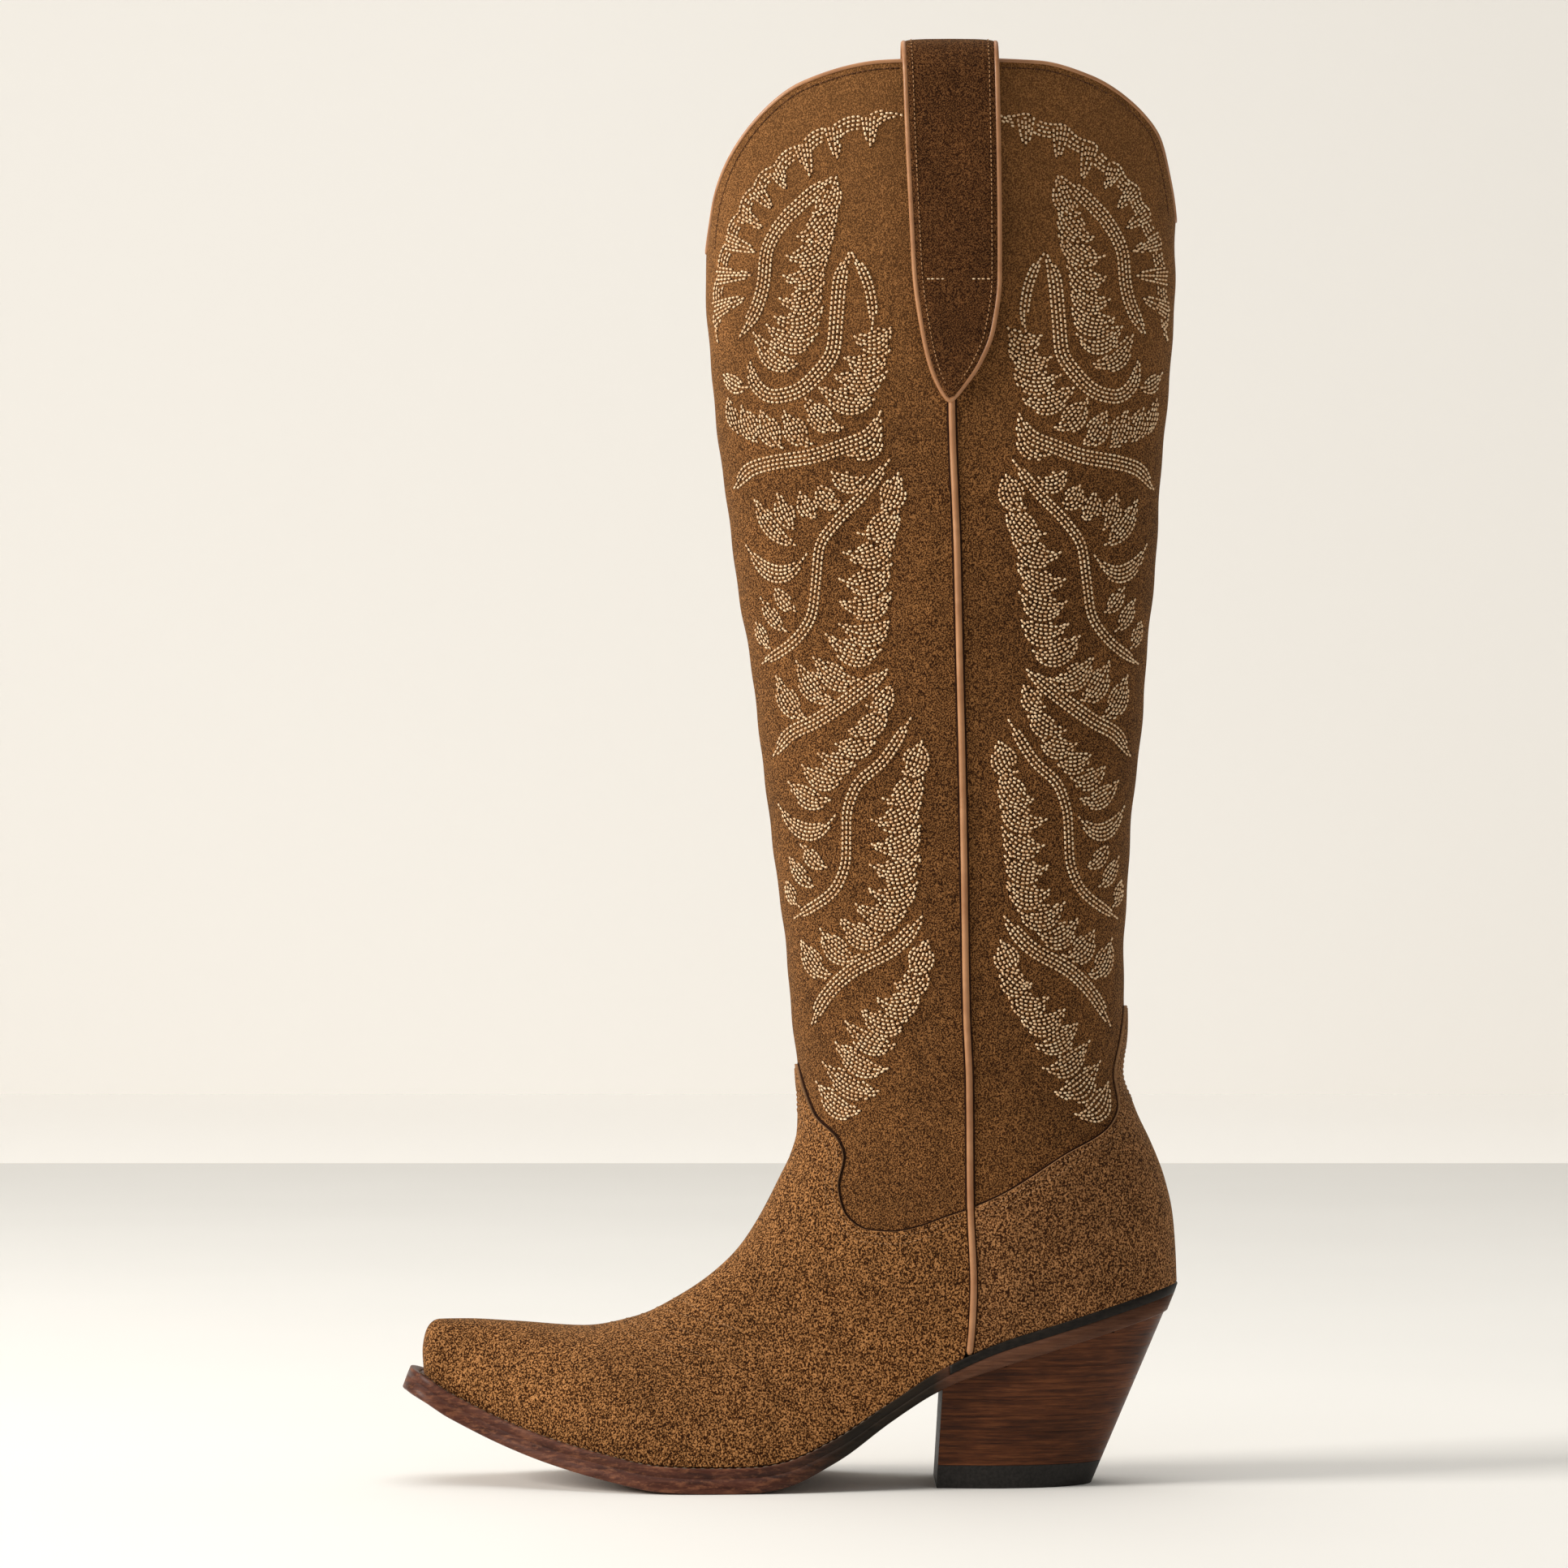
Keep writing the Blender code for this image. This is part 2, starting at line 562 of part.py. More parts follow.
def toe_puff(back_x):
    """Stiff cap under the toe of the vamp, back to back_x."""
    rows, columns = 6, 10
    start, end = station(back_x - 12, 54), TOE_TIP - 1.8
    grid = np.zeros((rows + 1, 2 * columns + 1, 2))
    for i, t in enumerate(np.linspace(start, end, rows + 1)):
        reach = limit_angle(np.array([t]), 1.2)[0]
        grid[i, :, 0] = t
        grid[i, :, 1] = np.linspace(-reach, reach, 2 * columns + 1)
    shell("toe_puff", grid, STIFFENER, (BOARD, 0.8))


def counter_stiffener(height):
    """Stiff cup round the heel, between the counter and its lining."""
    top = [(74, 80), (90, 100), (110, height + 1), (128.5, height)]
    bottom = [(x, z + 1.5) for x, z in split_line(FEATHER, 74, False)]
    top, bottom = located(line(top, 9)), located(line(bottom, 9))
    top[-1, 1] = bottom[-1, 1] = 180
    v = np.linspace(0, 1, 6)[:, None, None]
    outer = (1 - v) * top[None] + v * bottom[None]
    inner = outer[:, -2::-1] * (1, -1) + (0, 360)
    shell("counter_stiffener", np.concatenate([outer, inner], axis=1), STIFFENER, (BOARD, 0.8))


def make_side_piping():
    top = rim_station(55.6)
    t = np.linspace(top + 0.09, station(63, feather(63) + 1.2), 30)
    angle = seam_angle(t)
    raised = 0.7 * np.clip((t - 15.0) / 1.5, 0, 1) - 0.1
    for name, turn in (("side_piping_outer", 1), ("side_piping_inner", -1)):
        path = np.array([offset_surface(a, turn * b, c) for a, b, c in zip(t, angle, raised)])
        tube(name, path, PIPING_RADIUS, (TAN, 0.6))


def strap_middle(side):
    """(y, z) of the strap's middle line and its outward direction at each row of STRAP."""
    z, out = STRAP[:, 0], STRAP[:, 1]
    y = side * (smooth(-SECTIONS[:12, 1], SECTIONS[:12, 4], -z) + out)
    middle = np.stack([y, z], -1)
    way = np.gradient(middle, axis=0)
    way /= np.linalg.norm(way, axis=1, keepdims=True)
    return middle, side * np.stack([way[:, 1], -way[:, 0]], -1)


def make_pull_strap(name, side):
    """A leather strap over the collar, sewn at both ends, with a piping round both edges and its outer tip."""
    middle, outward = strap_middle(side)
    margin = 2 * PIPING_RADIUS + GAP
    loops = []
    for (y, z), (dy, dz), (front, back) in zip(middle[1:], outward[1:], STRAP[1:, 2:]):
        a, b = front + margin, back - margin
        h = STRAP_HALF_THICKNESS
        loops.append(
            np.array(
                [(a, y + h * dy, z + h * dz), (b, y + h * dy, z + h * dz)]
                + [(b, y - h * dy, z - h * dz), (a, y - h * dy, z - h * dz)]
            )
        )
    swept(name, loops, (SUEDE, 0.9))
    inset = PIPING_RADIUS
    front = [(r[2] + inset, y, z) for r, (y, z) in zip(STRAP[1:], middle[1:])]
    back = [(r[3] - inset, y, z) for r, (y, z) in zip(STRAP[1:], middle[1:])]
    tip = [(STRAP[0, 2], middle[0, 0], middle[0, 1] + inset)]
    tube(name + "_piping", front[::-1] + tip + back, PIPING_RADIUS, (TAN, 0.6))


def make_sole():
    sole = (SOLE_LEATHER, 0.5)
    top_level = level(SOLE_TOP)
    layer("outsole", sole_margin, -200, 200, top_level, sole_bottom, sole)
    band("welt", (-4.5, sole_margin), 56, False, WELT, sole, 56)
    band("heel_rand", (-4.5, sole_margin), 56.6, True, WELT, (EDGE_BLACK, 0.4), 24)
    layer("insole_board", -5.6, -119, 200, level(INSOLE[0]), level(INSOLE[1]), (BOARD, 0.8))
    layer("footbed", -7.4, -110, 200, level(FOOTBED[0]), level(FOOTBED[1]), (LINING_LEATHER, 0.7))
    layer("bottom_filler", -5.6, -110, 18, level(FILLER[0]), level(FILLER[1]), (CORK, 0.9))
    make_shank()


def make_shank():
    """Sprung steel strip under the arch, from the waist to under the heel seat."""
    half_width = 7.0
    loops = []
    for x in np.arange(24, 86, LAYER_STEP):
        top, bottom = feather(x) + FILLER[0], feather(x) + FILLER[1]
        loops.append(np.array([(x, s * half_width, z) for s, z in ((1, top), (-1, top), (-1, bottom), (1, bottom))]))
    swept("shank", loops, (STEEL, 0.4, 1.0))


def heel_plan(share, z):
    """x and half width of the heel block at height z, share of the way from its breast to its back."""
    front = HEEL_BREAST[0] + HEEL_BREAST[1] * z
    back = HEEL_BACK[0] + HEEL_BACK[1] * z
    half = HEEL_HALF_WIDTH[0] + HEEL_HALF_WIDTH[1] * z
    bend = max(0.0, (share - HEEL_MIDDLE_SHARE) / (1 - HEEL_MIDDLE_SHARE))
    taper = 0.95 + 0.05 * min(1.0, share / HEEL_MIDDLE_SHARE)
    return front + share * (back - front), half * taper * math.sqrt(max(0.0, 1 - bend**2.2))


def heel_slice(name, low, high, finish, screw):
    """One level layer of the heel, from height low to high, cut off where it meets the outsole."""

    def roof(x):
        return float(sole_bottom(x)) - GAP

    shares = np.sin(np.linspace(0, math.pi / 2, 15))
    start = next(s for s in np.linspace(0, 0.9, 91) if roof(heel_plan(s, low)[0]) > low + 0.8)
    loops = []
    for s in start + (1 - start) * shares:
        x_low, w_low = heel_plan(s, low)
        top = high
        for _ in range(8):
            top = min(high, roof(heel_plan(s, top)[0]))
        x_top, w_top = heel_plan(s, top)
        loops.append(np.array([(x_low, -w_low, low), (x_low, w_low, low), (x_top, w_top, top), (x_top, -w_top, top)]))
    made = swept(name, loops, finish)
    if screw:
        drill(made, [(HEEL_SCREW[0], 0, HEEL_SCREW[1] + GAP)])
    return made


def peg(name, x, y, low, high, radius, finish, head=None):
    """An upright round pin with eight sides, and optionally a wider head: its radius and thickness."""
    steps = [(low, radius), (high, radius)]
    if head:
        steps = [(low, radius), (high - head[1], radius), (high - head[1], head[0]), (high, head[0])]
    turn = np.linspace(0, 2 * math.pi, 8, endpoint=False)
    loops = [np.stack([x + r * np.cos(turn), y + r * np.sin(turn), np.full(8, z)], -1) for z, r in steps]
    return swept(name, loops, finish)


def drill(made, holes, low=-5, high=90):
    """Cuts upright round holes, each (x, y, radius), through a piece between two heights."""
    for k, (x, y, radius) in enumerate(holes):
        cutter = peg(f"{made.name}_cutter_{k}", x, y, low, high, radius, (STEEL, 0.5))
        cutter.hide_render = True
        cutter.display_type = "WIRE"
        cut = made.modifiers.new(f"hole_{k}", "BOOLEAN")
        cut.operation = "DIFFERENCE"
        cut.solver = "EXACT"
        cut.object = cutter


def make_heel():
    stack = (STACK_LEATHER, 0.45)
    nail_radius = 0.9
    holes = [(x, y, nail_radius + GAP) for x, y in CAP_NAILS]
    cap = heel_slice("heel_cap", 0, CAP_HEIGHT, (EDGE_BLACK, 0.6), False)
    drill(cap, holes)
    screw_top = float(feather(HEEL_SCREW[0])) + 0.1
    screw_low = CAP_HEIGHT + GAP + LIFT_HEIGHT + 2 * GAP
    for k in range(LIFT_COUNT):
        low = CAP_HEIGHT + GAP + k * (LIFT_HEIGHT + GAP)
        roof = float(sole_bottom(HEEL_SCREW[0]))
        passes = screw_low < low + LIFT_HEIGHT and low < roof
        made = heel_slice(f"heel_lift_{k + 1}", low, low + LIFT_HEIGHT, stack, passes)
        if k == 0:
            drill(made, holes, high=CAP_HEIGHT + GAP + 4.4)
    for k, (x, y) in enumerate(CAP_NAILS):
        peg(f"cap_nail_{k + 1}", x, y, 0.2, CAP_HEIGHT + 4.0, nail_radius, (BRASS, 0.35, 1.0))
    peg("heel_screw", HEEL_SCREW[0], 0, screw_low, screw_top, HEEL_SCREW[1], (STEEL, 0.35, 1.0))
    for name in ("outsole", "insole_board"):
        drill(bpy.data.objects[name], [(HEEL_SCREW[0], 0, HEEL_SCREW[1] + GAP)])


def make_waist_pegs():
    """Wooden pegs that hold the outsole at the narrow waist."""
    loop = widened(0.0)
    holes = []
    for k, (x, share) in enumerate(WAIST_PEGS):
        for outer in (True, False):
            y = share * float(side_y(loop, x, outer))
            low, high = float(sole_bottom(x)) - 0.3, float(feather(x)) + SOLE_TOP - 0.5
            peg(f"waist_peg_{2 * k + (1 if outer else 2)}", x, y, low, high, 1.1, (WOOD, 0.8))
            holes.append((x, y, 1.1 + GAP))
    drill(bpy.data.objects["outsole"], holes)


def main():
    for old in list(bpy.data.objects):
        bpy.data.objects.remove(old)
    make_upper()
    make_binding()
    make_inside()
    make_side_piping()
    make_pull_strap("pull_strap_outer", -1)
    make_pull_strap("pull_strap_inner", 1)
    make_sole()
    make_heel()
    make_waist_pegs()


main()
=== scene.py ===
"""Looks of a western boot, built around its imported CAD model.

+X runs from toe to heel, -Y is the outer side of the foot, +Z is up, and the boot stands on z = 0.
Shapes are worked out in millimetres and turned into metres when a mesh is made.
The boot's surface is read at a station t, which counts its sections from the top of the shaft to the
toe tip, and an angle: 0 is the front ridge, 90 the outer side, 180 the back and 270 the inner side.
"""

import math

import bpy
import numpy as np
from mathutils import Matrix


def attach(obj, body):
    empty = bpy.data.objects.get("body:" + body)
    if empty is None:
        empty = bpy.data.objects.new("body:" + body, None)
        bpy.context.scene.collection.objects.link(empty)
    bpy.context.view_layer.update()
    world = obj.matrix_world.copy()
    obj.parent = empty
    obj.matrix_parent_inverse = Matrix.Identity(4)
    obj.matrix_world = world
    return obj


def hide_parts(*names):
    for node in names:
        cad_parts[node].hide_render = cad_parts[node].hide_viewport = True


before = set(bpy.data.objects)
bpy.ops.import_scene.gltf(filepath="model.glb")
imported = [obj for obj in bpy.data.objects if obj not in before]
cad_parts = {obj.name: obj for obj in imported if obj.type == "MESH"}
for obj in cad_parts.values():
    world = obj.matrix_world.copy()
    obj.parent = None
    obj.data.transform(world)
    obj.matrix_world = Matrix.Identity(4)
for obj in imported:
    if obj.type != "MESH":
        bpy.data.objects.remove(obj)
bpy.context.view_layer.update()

MM = 0.001
BODY = "root"

# Sections of the upper, from the top of the shaft, round the instep, to the toe tip:
# front (or upper) end x, z; back (or lower) end x, z; half width outside, inside; middle y.
SECTIONS = np.array([
    (-29.5, 500, 137.0, 500, 38.0, 38.0, 0.0),
    (-28.3, 433, 134.9, 433, 37.5, 37.5, 0.0),
    (-28.6, 416.6, 135.2, 416.6, 37.3, 37.3, 0.0),
    (-26.0, 377.4, 132.4, 377.4, 36.8, 36.8, 0.0),
    (-21.6, 343.8, 129.6, 343.8, 36.3, 36.3, 0.0),
    (-17.4, 310.2, 127.4, 310.2, 35.8, 35.8, 0.0),
    (-13.4, 287.8, 125.2, 287.8, 35.4, 35.4, 0.0),
    (-9.2, 254.2, 122.4, 254.2, 35.0, 35.0, 0.0),
    (-5.3, 220.6, 119.0, 220.6, 34.6, 34.6, 0.0),
    (-0.6, 187.0, 117.3, 187.0, 34.3, 34.3, 0.0),
    (0.8, 164.6, 117.3, 164.6, 34.0, 34.0, 0.0),
    (3.6, 143.6, 115.6, 143.6, 33.6, 33.6, 0.0),
    (4.5, 133.0, 119.6, 131.0, 33.2, 33.2, 0.0),
    (4.2, 122.6, 125.4, 118.4, 32.8, 32.8, 0.0),
    (2.0, 114.2, 130.2, 105.8, 32.4, 32.4, 0.0),
    (-2.0, 105.8, 133.0, 93.2, 32.2, 32.2, 0.0),
    (-6.2, 97.4, 134.1, 79.2, 32.0, 32.0, 0.0),
    (-10.9, 89.0, 134.6, 66.0, 31.5, 31.5, 0.0),
    (-16.8, 80.6, 135.0, 52.0, 32.0, 31.5, 0.0),
    (-25.5, 72.2, 132.0, 30.0, 29.5, 28.5, 0.0),
    (-37.8, 63.8, 118.0, -12.0, 31.5, 29.5, 0.5),
    (-53.2, 56.5, 80.0, -50.0, 39.0, 37.5, 1.0),
    (-71.7, 53.2, 20.0, -65.0, 43.5, 43.5, 2.0),
    (-94.6, 54.6, -50.0, -55.0, 30.5, 32.5, 3.5),
    (-111.4, 55.4, -90.0, -20.0, 19.0, 21.0, 4.5),
    (-121.8, 55.2, -112.0, 5.0, 13.4, 14.8, 5.0),
    (-125.2, 52.5, -119.0, 20.0, 11.0, 11.8, 5.0),
    (-126.6, 45.4, -122.0, 26.0, 8.2, 8.6, 5.0),
    (-126.2, 37.9, -125.5, 30.0, 0.0, 0.0, 5.0),
])
TOE_TIP = len(SECTIONS) - 1
SIDES = (("outer", 1), ("inner", -1))  # the inner side is the outer one with its angles turned over
WAIST_END, BALL_END = 21, 23  # stations
SHAFT_END = 15  # station where the shaft's flat map ends and the foot's thicker leather begins
PATCH_COLUMNS = 52  # columns of a panel's grid from the front or back ridge to a side seam

# Seen from the side: x and z of each line on the upper, the same on both sides of the boot.
RIM = [(-28.38, 429), (-28.0, 433.5), (-26.6, 444.6), (-16.2, 467), (4.8, 485), (32.5, 491.7), (59, 492.3)]
RIM += [(85.7, 491.7), (104.2, 487.2), (119.8, 478.2), (129.1, 467), (133, 453), (135.0, 440)]
RIM_SEAM_X = 55.6
VAMP_TOP = [(3.3, 145.7), (9.4, 128.6), (17.2, 120.4), (19.3, 114.5), (17.4, 104.5)]
VAMP_TOP += [(19.4, 95.5), (27.6, 89.5), (35.8, 89), (45.1, 90.8), (53.5, 93.9), (62.7, 97)]
COUNTER_TOP = [(62.7, 97), (74.2, 102.2), (94.9, 115.1), (111.4, 125), (114.5, 131.7)]
COUNTER_TOP += [(113, 142.1), (114.5, 151.5), (117.2, 166)]
SEAM = [(492, 55.4), (373, 56.2), (326.8, 57.9), (282.2, 59), (230.7, 60.2), (164.6, 61.3)]
SEAM += [(140, 62.3), (98.6, 62.7), (71.4, 63.8), (57.4, 63.4), (40, 61.5)]
SEAM_FOOT_X = 62.2
FEATHER = [(-133, 41.2), (-126.2, 37.9), (-118.2, 33), (-99.5, 24.3), (-80.9, 17.9), (-62.4, 13.3)]
FEATHER += [(-43.8, 10), (-25.2, 9.3), (-11.3, 9.6), (-2, 11), (16.2, 18.8), (34.9, 30.8)]
FEATHER += [(53.5, 42.6), (72, 51), (90.6, 57), (109.2, 62.6), (134.6, 70.3), (136.6, 70.9)]

# Leather layers, as distances out from the boot's surface.
SHAFT_LEATHER = (0.0, -1.4)
FOOT_LEATHER = (1.1, 0.1)
SHAFT_LINING = (-2.6, -3.4)
SEAM_HALF_WIDTH = 1.55
TUCKED = 3.0  # how far the shaft runs on under the vamp and the counter
TUCKED_AT_SOLE = -0.45  # the upper ends this far under the feather line
PIPING_RADIUS = 0.95
SEAM_PIPING_RADIUS = 1.2
BINDING_DEPTH = 1.15  # height of the folded leather over the top edge
PANEL_TOP = 0.6  # the panels end this far under the top edge, inside the binding

# Sole, measured down from the feather line, and out from the upper.
WELT_TOP, WELT_BOTTOM, SOLE_TOP = -0.6, -3.97, -4.0
SOLE_DEPTH = 9.3  # from the feather line to the outsole's bottom at the toe
SOLE_THICKNESS = [(-135, 5.3), (-5, 5.3), (20, 4.8), (40, 3.6), (55, 3.9), (75, 5.5), (140, 5.5)]
WELT_WIDTH = [(-135, 10), (-122, 8), (-108, 5.6), (-30, 5), (10, 3.6), (40, 2.4), (56, 1.7), (140, 1.5)]
EDGE_LEAN = [(-135, 3.2), (-124, 2.6), (-108, 1.0), (-30, 0.6), (20, 0.2), (140, 0.2)]
EDGE_ROUND = [(-135, 1.4), (-60, 0.9), (-5, 1.0), (15, 2.4), (30, 3.4), (46, 3.0), (56, 1.0), (140, 0.6)]
RAND_START_X = 56.0  # the welt ends and the black rand starts here
WELT_STITCH_END_X = 40.0
CHANNEL_PLACE = 0.45  # the stitch channel's place, as a share of the welt's width

# Heel block, as a function of height.
HEEL_BACK = (105.7, 0.427)  # x at the floor, and run for each unit of rise
HEEL_BREAST = (51.2, 0.062)
HEEL_HALF_WIDTH = (24.3, 0.085)
HEEL_MIDDLE_SHARE = 0.3
CAP_HEIGHT = 8.0
LIFT_PITCH = 5.7
LIFT_COUNT = 9
LIFT_SEAM = 0.05

# One pull strap from its outer tip over the collar to its inner end:
# height, distance out from the shaft's surface, and x of its front and back edges.
STRAP = np.array([
    (373.2, 2.3, 55.3, 55.5),
    (379, 2.3, 51.2, 60.6),
    (388, 2.3, 47.6, 66.8),
    (399, 2.3, 45.2, 71.1),
    (417, 2.5, 42.6, 73.4),
    (434, 5.0, 41.6, 73.3),
    (452, 8.0, 40.6, 73.0),
    (472, 9.6, 39.7, 72.6),
    (486, 9.0, 39.2, 72.3),
    (494, 6.3, 38.8, 72.1),
    (497.3, 2.0, 38.6, 72.0),
    (497.3, -3.0, 38.6, 72.0),
    (494, -7.5, 38.6, 72.0),
    (486, -10.4, 38.7, 72.0),
    (470, -11.6, 39.0, 72.0),
    (450, -10.6, 39.5, 72.0),
    (430, -8.6, 40.0, 72.0),
    (412, -6.5, 40.5, 72.0),
    (396, -6.3, 41.0, 72.0),
])
STRAP_HALF_THICKNESS, STRAP_DOME = 1.15, 0.25
BAR_TACK_ROW = 4  # row of STRAP where the strap is sewn down across its width
BAR_TACK_LENGTH = 8.0

# Embroidery on the outer front quarter of the shaft, as x and z seen from the side.
# The same pattern is turned over for the back and for the inner side.
ARCH = [(39.5, 473.2), (28.3, 470.7), (15.7, 467.3), (5.3, 461.7), (-3.9, 454.7), (-10.6, 448)]
ARCH += [(-15.4, 439.9), (-19.9, 430.9), (-22.7, 419.4), (-23.8, 408), (-24.4, 396.5)]
TEETH = [(28.3, 462.3), (16.8, 458.4), (7.6, 451.9), (-0.6, 448.6), (-5.6, 442.1), (-9, 435.4)]
TEETH += [(-11.2, 427.3), (-12.3, 418.9), (-14.8, 411.3)]
# Ribbons: how many rows of thread, then the points of the middle line.
RIBBONS = [
    (4, [(16.2, 452.5), (6.4, 444.6), (-2.8, 435.4), (-7.3, 426.2), (-8.4, 416.1), (-10.6, 408),
         (-16.5, 397.6)]),
    (4, [(21.3, 426.2), (17.9, 416.1), (16.8, 405.7), (15.7, 392.8), (9.8, 383.9), (2, 378),
         (-5, 376.9), (-11.8, 382.8), (-13.4, 391)]),
    (3, [(21.3, 426.2), (24.6, 421.7), (28.2, 412.4), (29.3, 403.5), (28.6, 398)]),
    (4, [(32.2, 371.5), (28.3, 363.2), (19, 359.3), (7.6, 355.9), (-5, 354.2), (-12.9, 352),
         (-18.8, 345)]),
    (3, [(35.6, 355.5), (25.8, 342.7), (16.8, 333.5), (10.9, 324.5), (9.8, 313), (8.7, 302.7),
         (3.1, 293.4), (-9.5, 284.5)]),
    (4, [(34.9, 283), (23.5, 274.1), (9.8, 264.9), (0.8, 260.4), (-5, 252.3)]),
    (3, [(42.6, 266.5), (32.8, 251.2), (23.5, 242.2), (20.2, 230.7), (20.2, 219.2), (16.8, 207.8),
         (2, 196.3)]),
    (4, [(47, 198.5), (37.2, 187.3), (21.3, 178.1), (12, 168), (7.8, 158.8)]),
]
# Leaves: how many rows of thread, how far the middle sags, then x and z of each left and right tip.
LEAVES = [
    (7, 4.5, [(8.4, 440.8, 16.4, 452), (3.1, 432.7, 16.4, 443.5), (-0.1, 426, 16, 434),
         (-1.3, 419.2, 13.4, 425), (-2.5, 411.3, 11.8, 416), (-4, 404.9, 11.8, 408),
         (-6.8, 401.8, 9.5, 398.6), (-11, 399, 3.9, 389)]),
    (7, 3.5, [(23, 397.6, 34.9, 400.2), (19.6, 390.2, 34.2, 392.4), (16.4, 384.5, 33.4, 385),
         (11.5, 380, 29.6, 376), (6.5, 376, 18.6, 366.6), (-1, 371.8, 8.5, 361),
         (-9.3, 372.5, -1.5, 359.8), (-15.5, 374, -10, 361.8)]),
    (5, 2, [(-22.5, 386, -13.8, 380.8), (-20.5, 377, -17, 364.5)]),
    (6, 3.5, [(21, 357, 32, 366), (15.1, 351.3, 25.6, 349.4), (10.3, 346.5, 17.7, 341.3),
         (4.6, 343.9, 10.3, 336), (-3.3, 343.4, 2.8, 331.5), (-11.2, 341.7, 2.8, 326.3)]),
    (5, 9, [(-13.8, 326.6, 5.5, 323)]),
    (5, 2, [(-4.5, 311.5, 3.4, 303), (-9, 307.5, -0.5, 296.5), (-11.2, 300, -6, 290.5)]),
    (7, 4.5, [(31, 339, 37.6, 350), (24.3, 330.3, 37.6, 339.5), (19.5, 323.7, 36.4, 329),
         (18.2, 314.5, 35, 319), (17.7, 307, 34.9, 309.5), (18.2, 298.7, 34.6, 300),
         (13.8, 294.8, 31.6, 290), (9, 287.3, 25, 280.4), (3.2, 285.6, 15.6, 273),
         (-3.8, 280.7, 6.6, 267)]),
    (6, 3.5, [(27, 271, 35, 277.5), (20.4, 262.5, 34, 269.5), (16.4, 257.9, 30, 260.2),
         (10.7, 254.4, 24.3, 253), (5.5, 250, 18.6, 246), (0.5, 244.5, 14.8, 238.5)]),
    (5, 8, [(-2.6, 236.4, 15.4, 233)]),
    (5, 2, [(4.5, 222.5, 13.4, 215), (0.6, 218, 9.5, 208), (-0.4, 210, 4.2, 201)]),
    (7, 4.5, [(39, 248.5, 45.6, 258), (32.8, 239.1, 45.6, 248), (28.8, 231.8, 45.4, 238.6),
         (29.4, 223.2, 45.3, 229), (28.8, 215.9, 45, 219.5), (28.3, 207.8, 44, 210),
         (23.5, 202.7, 40.5, 200.5), (18.5, 197.3, 33, 192.5), (11.8, 193.5, 24.4, 185),
         (5.2, 189.5, 15, 178.5)]),
    (7, 4, [(41, 180, 47.5, 189.5), (36.6, 175.5, 47.6, 180.6), (31, 170.2, 45, 171.5),
         (25.4, 165.8, 40.8, 163.2), (20.4, 161.5, 36.6, 154.4), (16.6, 154.6, 33.8, 146),
         (12.6, 147.3, 31.4, 138.4), (10.6, 140, 25.4, 131.5)]),
]
LEAF_REACH = 0.06  # share by which each end of a leaf runs past its given tip
TOOTH_ROOT, TOOTH_TIP = 0.25, 0.05  # the same for the two ends of a tooth
SCALLOP = 1.7  # how far the arch swings out between its teeth
THREAD_ROW = 1.42  # distance between rows of thread
RIDGE_GAP = 0.8  # the thread stays this far from the front and back ridges
# Lines that the embroidery stays above, as x and z, near the vamp and near the counter.
VAMP_CLEARANCE = [(-5, 152), (3.3, 149), (9.4, 132), (17.2, 124)]
COUNTER_CLEARANCE = [(62, 100), (94.9, 118), (111.4, 129), (116, 160), (125, 172)]

# A stitch from end to end: share of its length, then height and thickness as shares of rise and radius.
STITCH = [(0.0, -0.25, 0.0), (0.14, 0.7, 0.8), (0.5, 1.0, 1.0), (0.86, 0.7, 0.8), (1.0, -0.25, 0.0)]
STITCH_SPREAD, STITCH_LENGTHS = 0.04, (0.9, 1.1)  # unevenness, as shares of the pitch and the length
HOLE_TOP, HOLE_BOTTOM, HOLE_OVAL = 0.12, -0.1, 0.85  # heights, and length as a share of width
EDGE_ROWS = (-1.7, -4.2)  # stitch rows, as distances inside the edges of the vamp and the counter
COLLAR_ROW = -3.0  # the row under the top edge
TOE_CHEVRONS = (-62, -56.5, -51, -45.5, -40)  # x of each toe chevron's point
CHEVRON_RUN = 9.0  # how far back a chevron's ends lie
CHEVRON_ANGLE = 44  # how far round the vamp they lie

# Painted shadow lines where the vamp and the counter overlap the shaft: half widths at the front or back
# ridge and at the side seam.
EDGE_SHADOW_SIZES = {"vamp": (0.62, 0.22), "counter": (0.26, 0.26)}
# Dark cords of painted shadow in the grooves either side of the side seam's piping.
SEAM_SHADOW = (1.45, 0.33)  # distance from the seam's middle, and radius
SEAM_SHADOW_OUT, PIPING_OUT, FOOT_STEP = 0.05, 0.15, 0.75  # out from the shaft, and more over the foot

# Camera and room, in metres.
CAMERA_DISTANCE = 2.3
CAMERA_HEIGHT = 0.2432
CAMERA_X = -0.0014
NEAR_SIDE_Y = -0.025  # the side of the boot that the photograph's scale was read on
FRAME_WIDTH = 0.541
SENSOR_WIDTH = 36  # in millimetres, like the lens
FLOOR_EDGE_Y = 1.95  # the floor's tone ends here, and the wall's tone starts
WALL_Y = 2.9
ROOM_SIDE, WALL_HEIGHT = 8, 6


# ---------------------------------------------------------------- the boot's surface


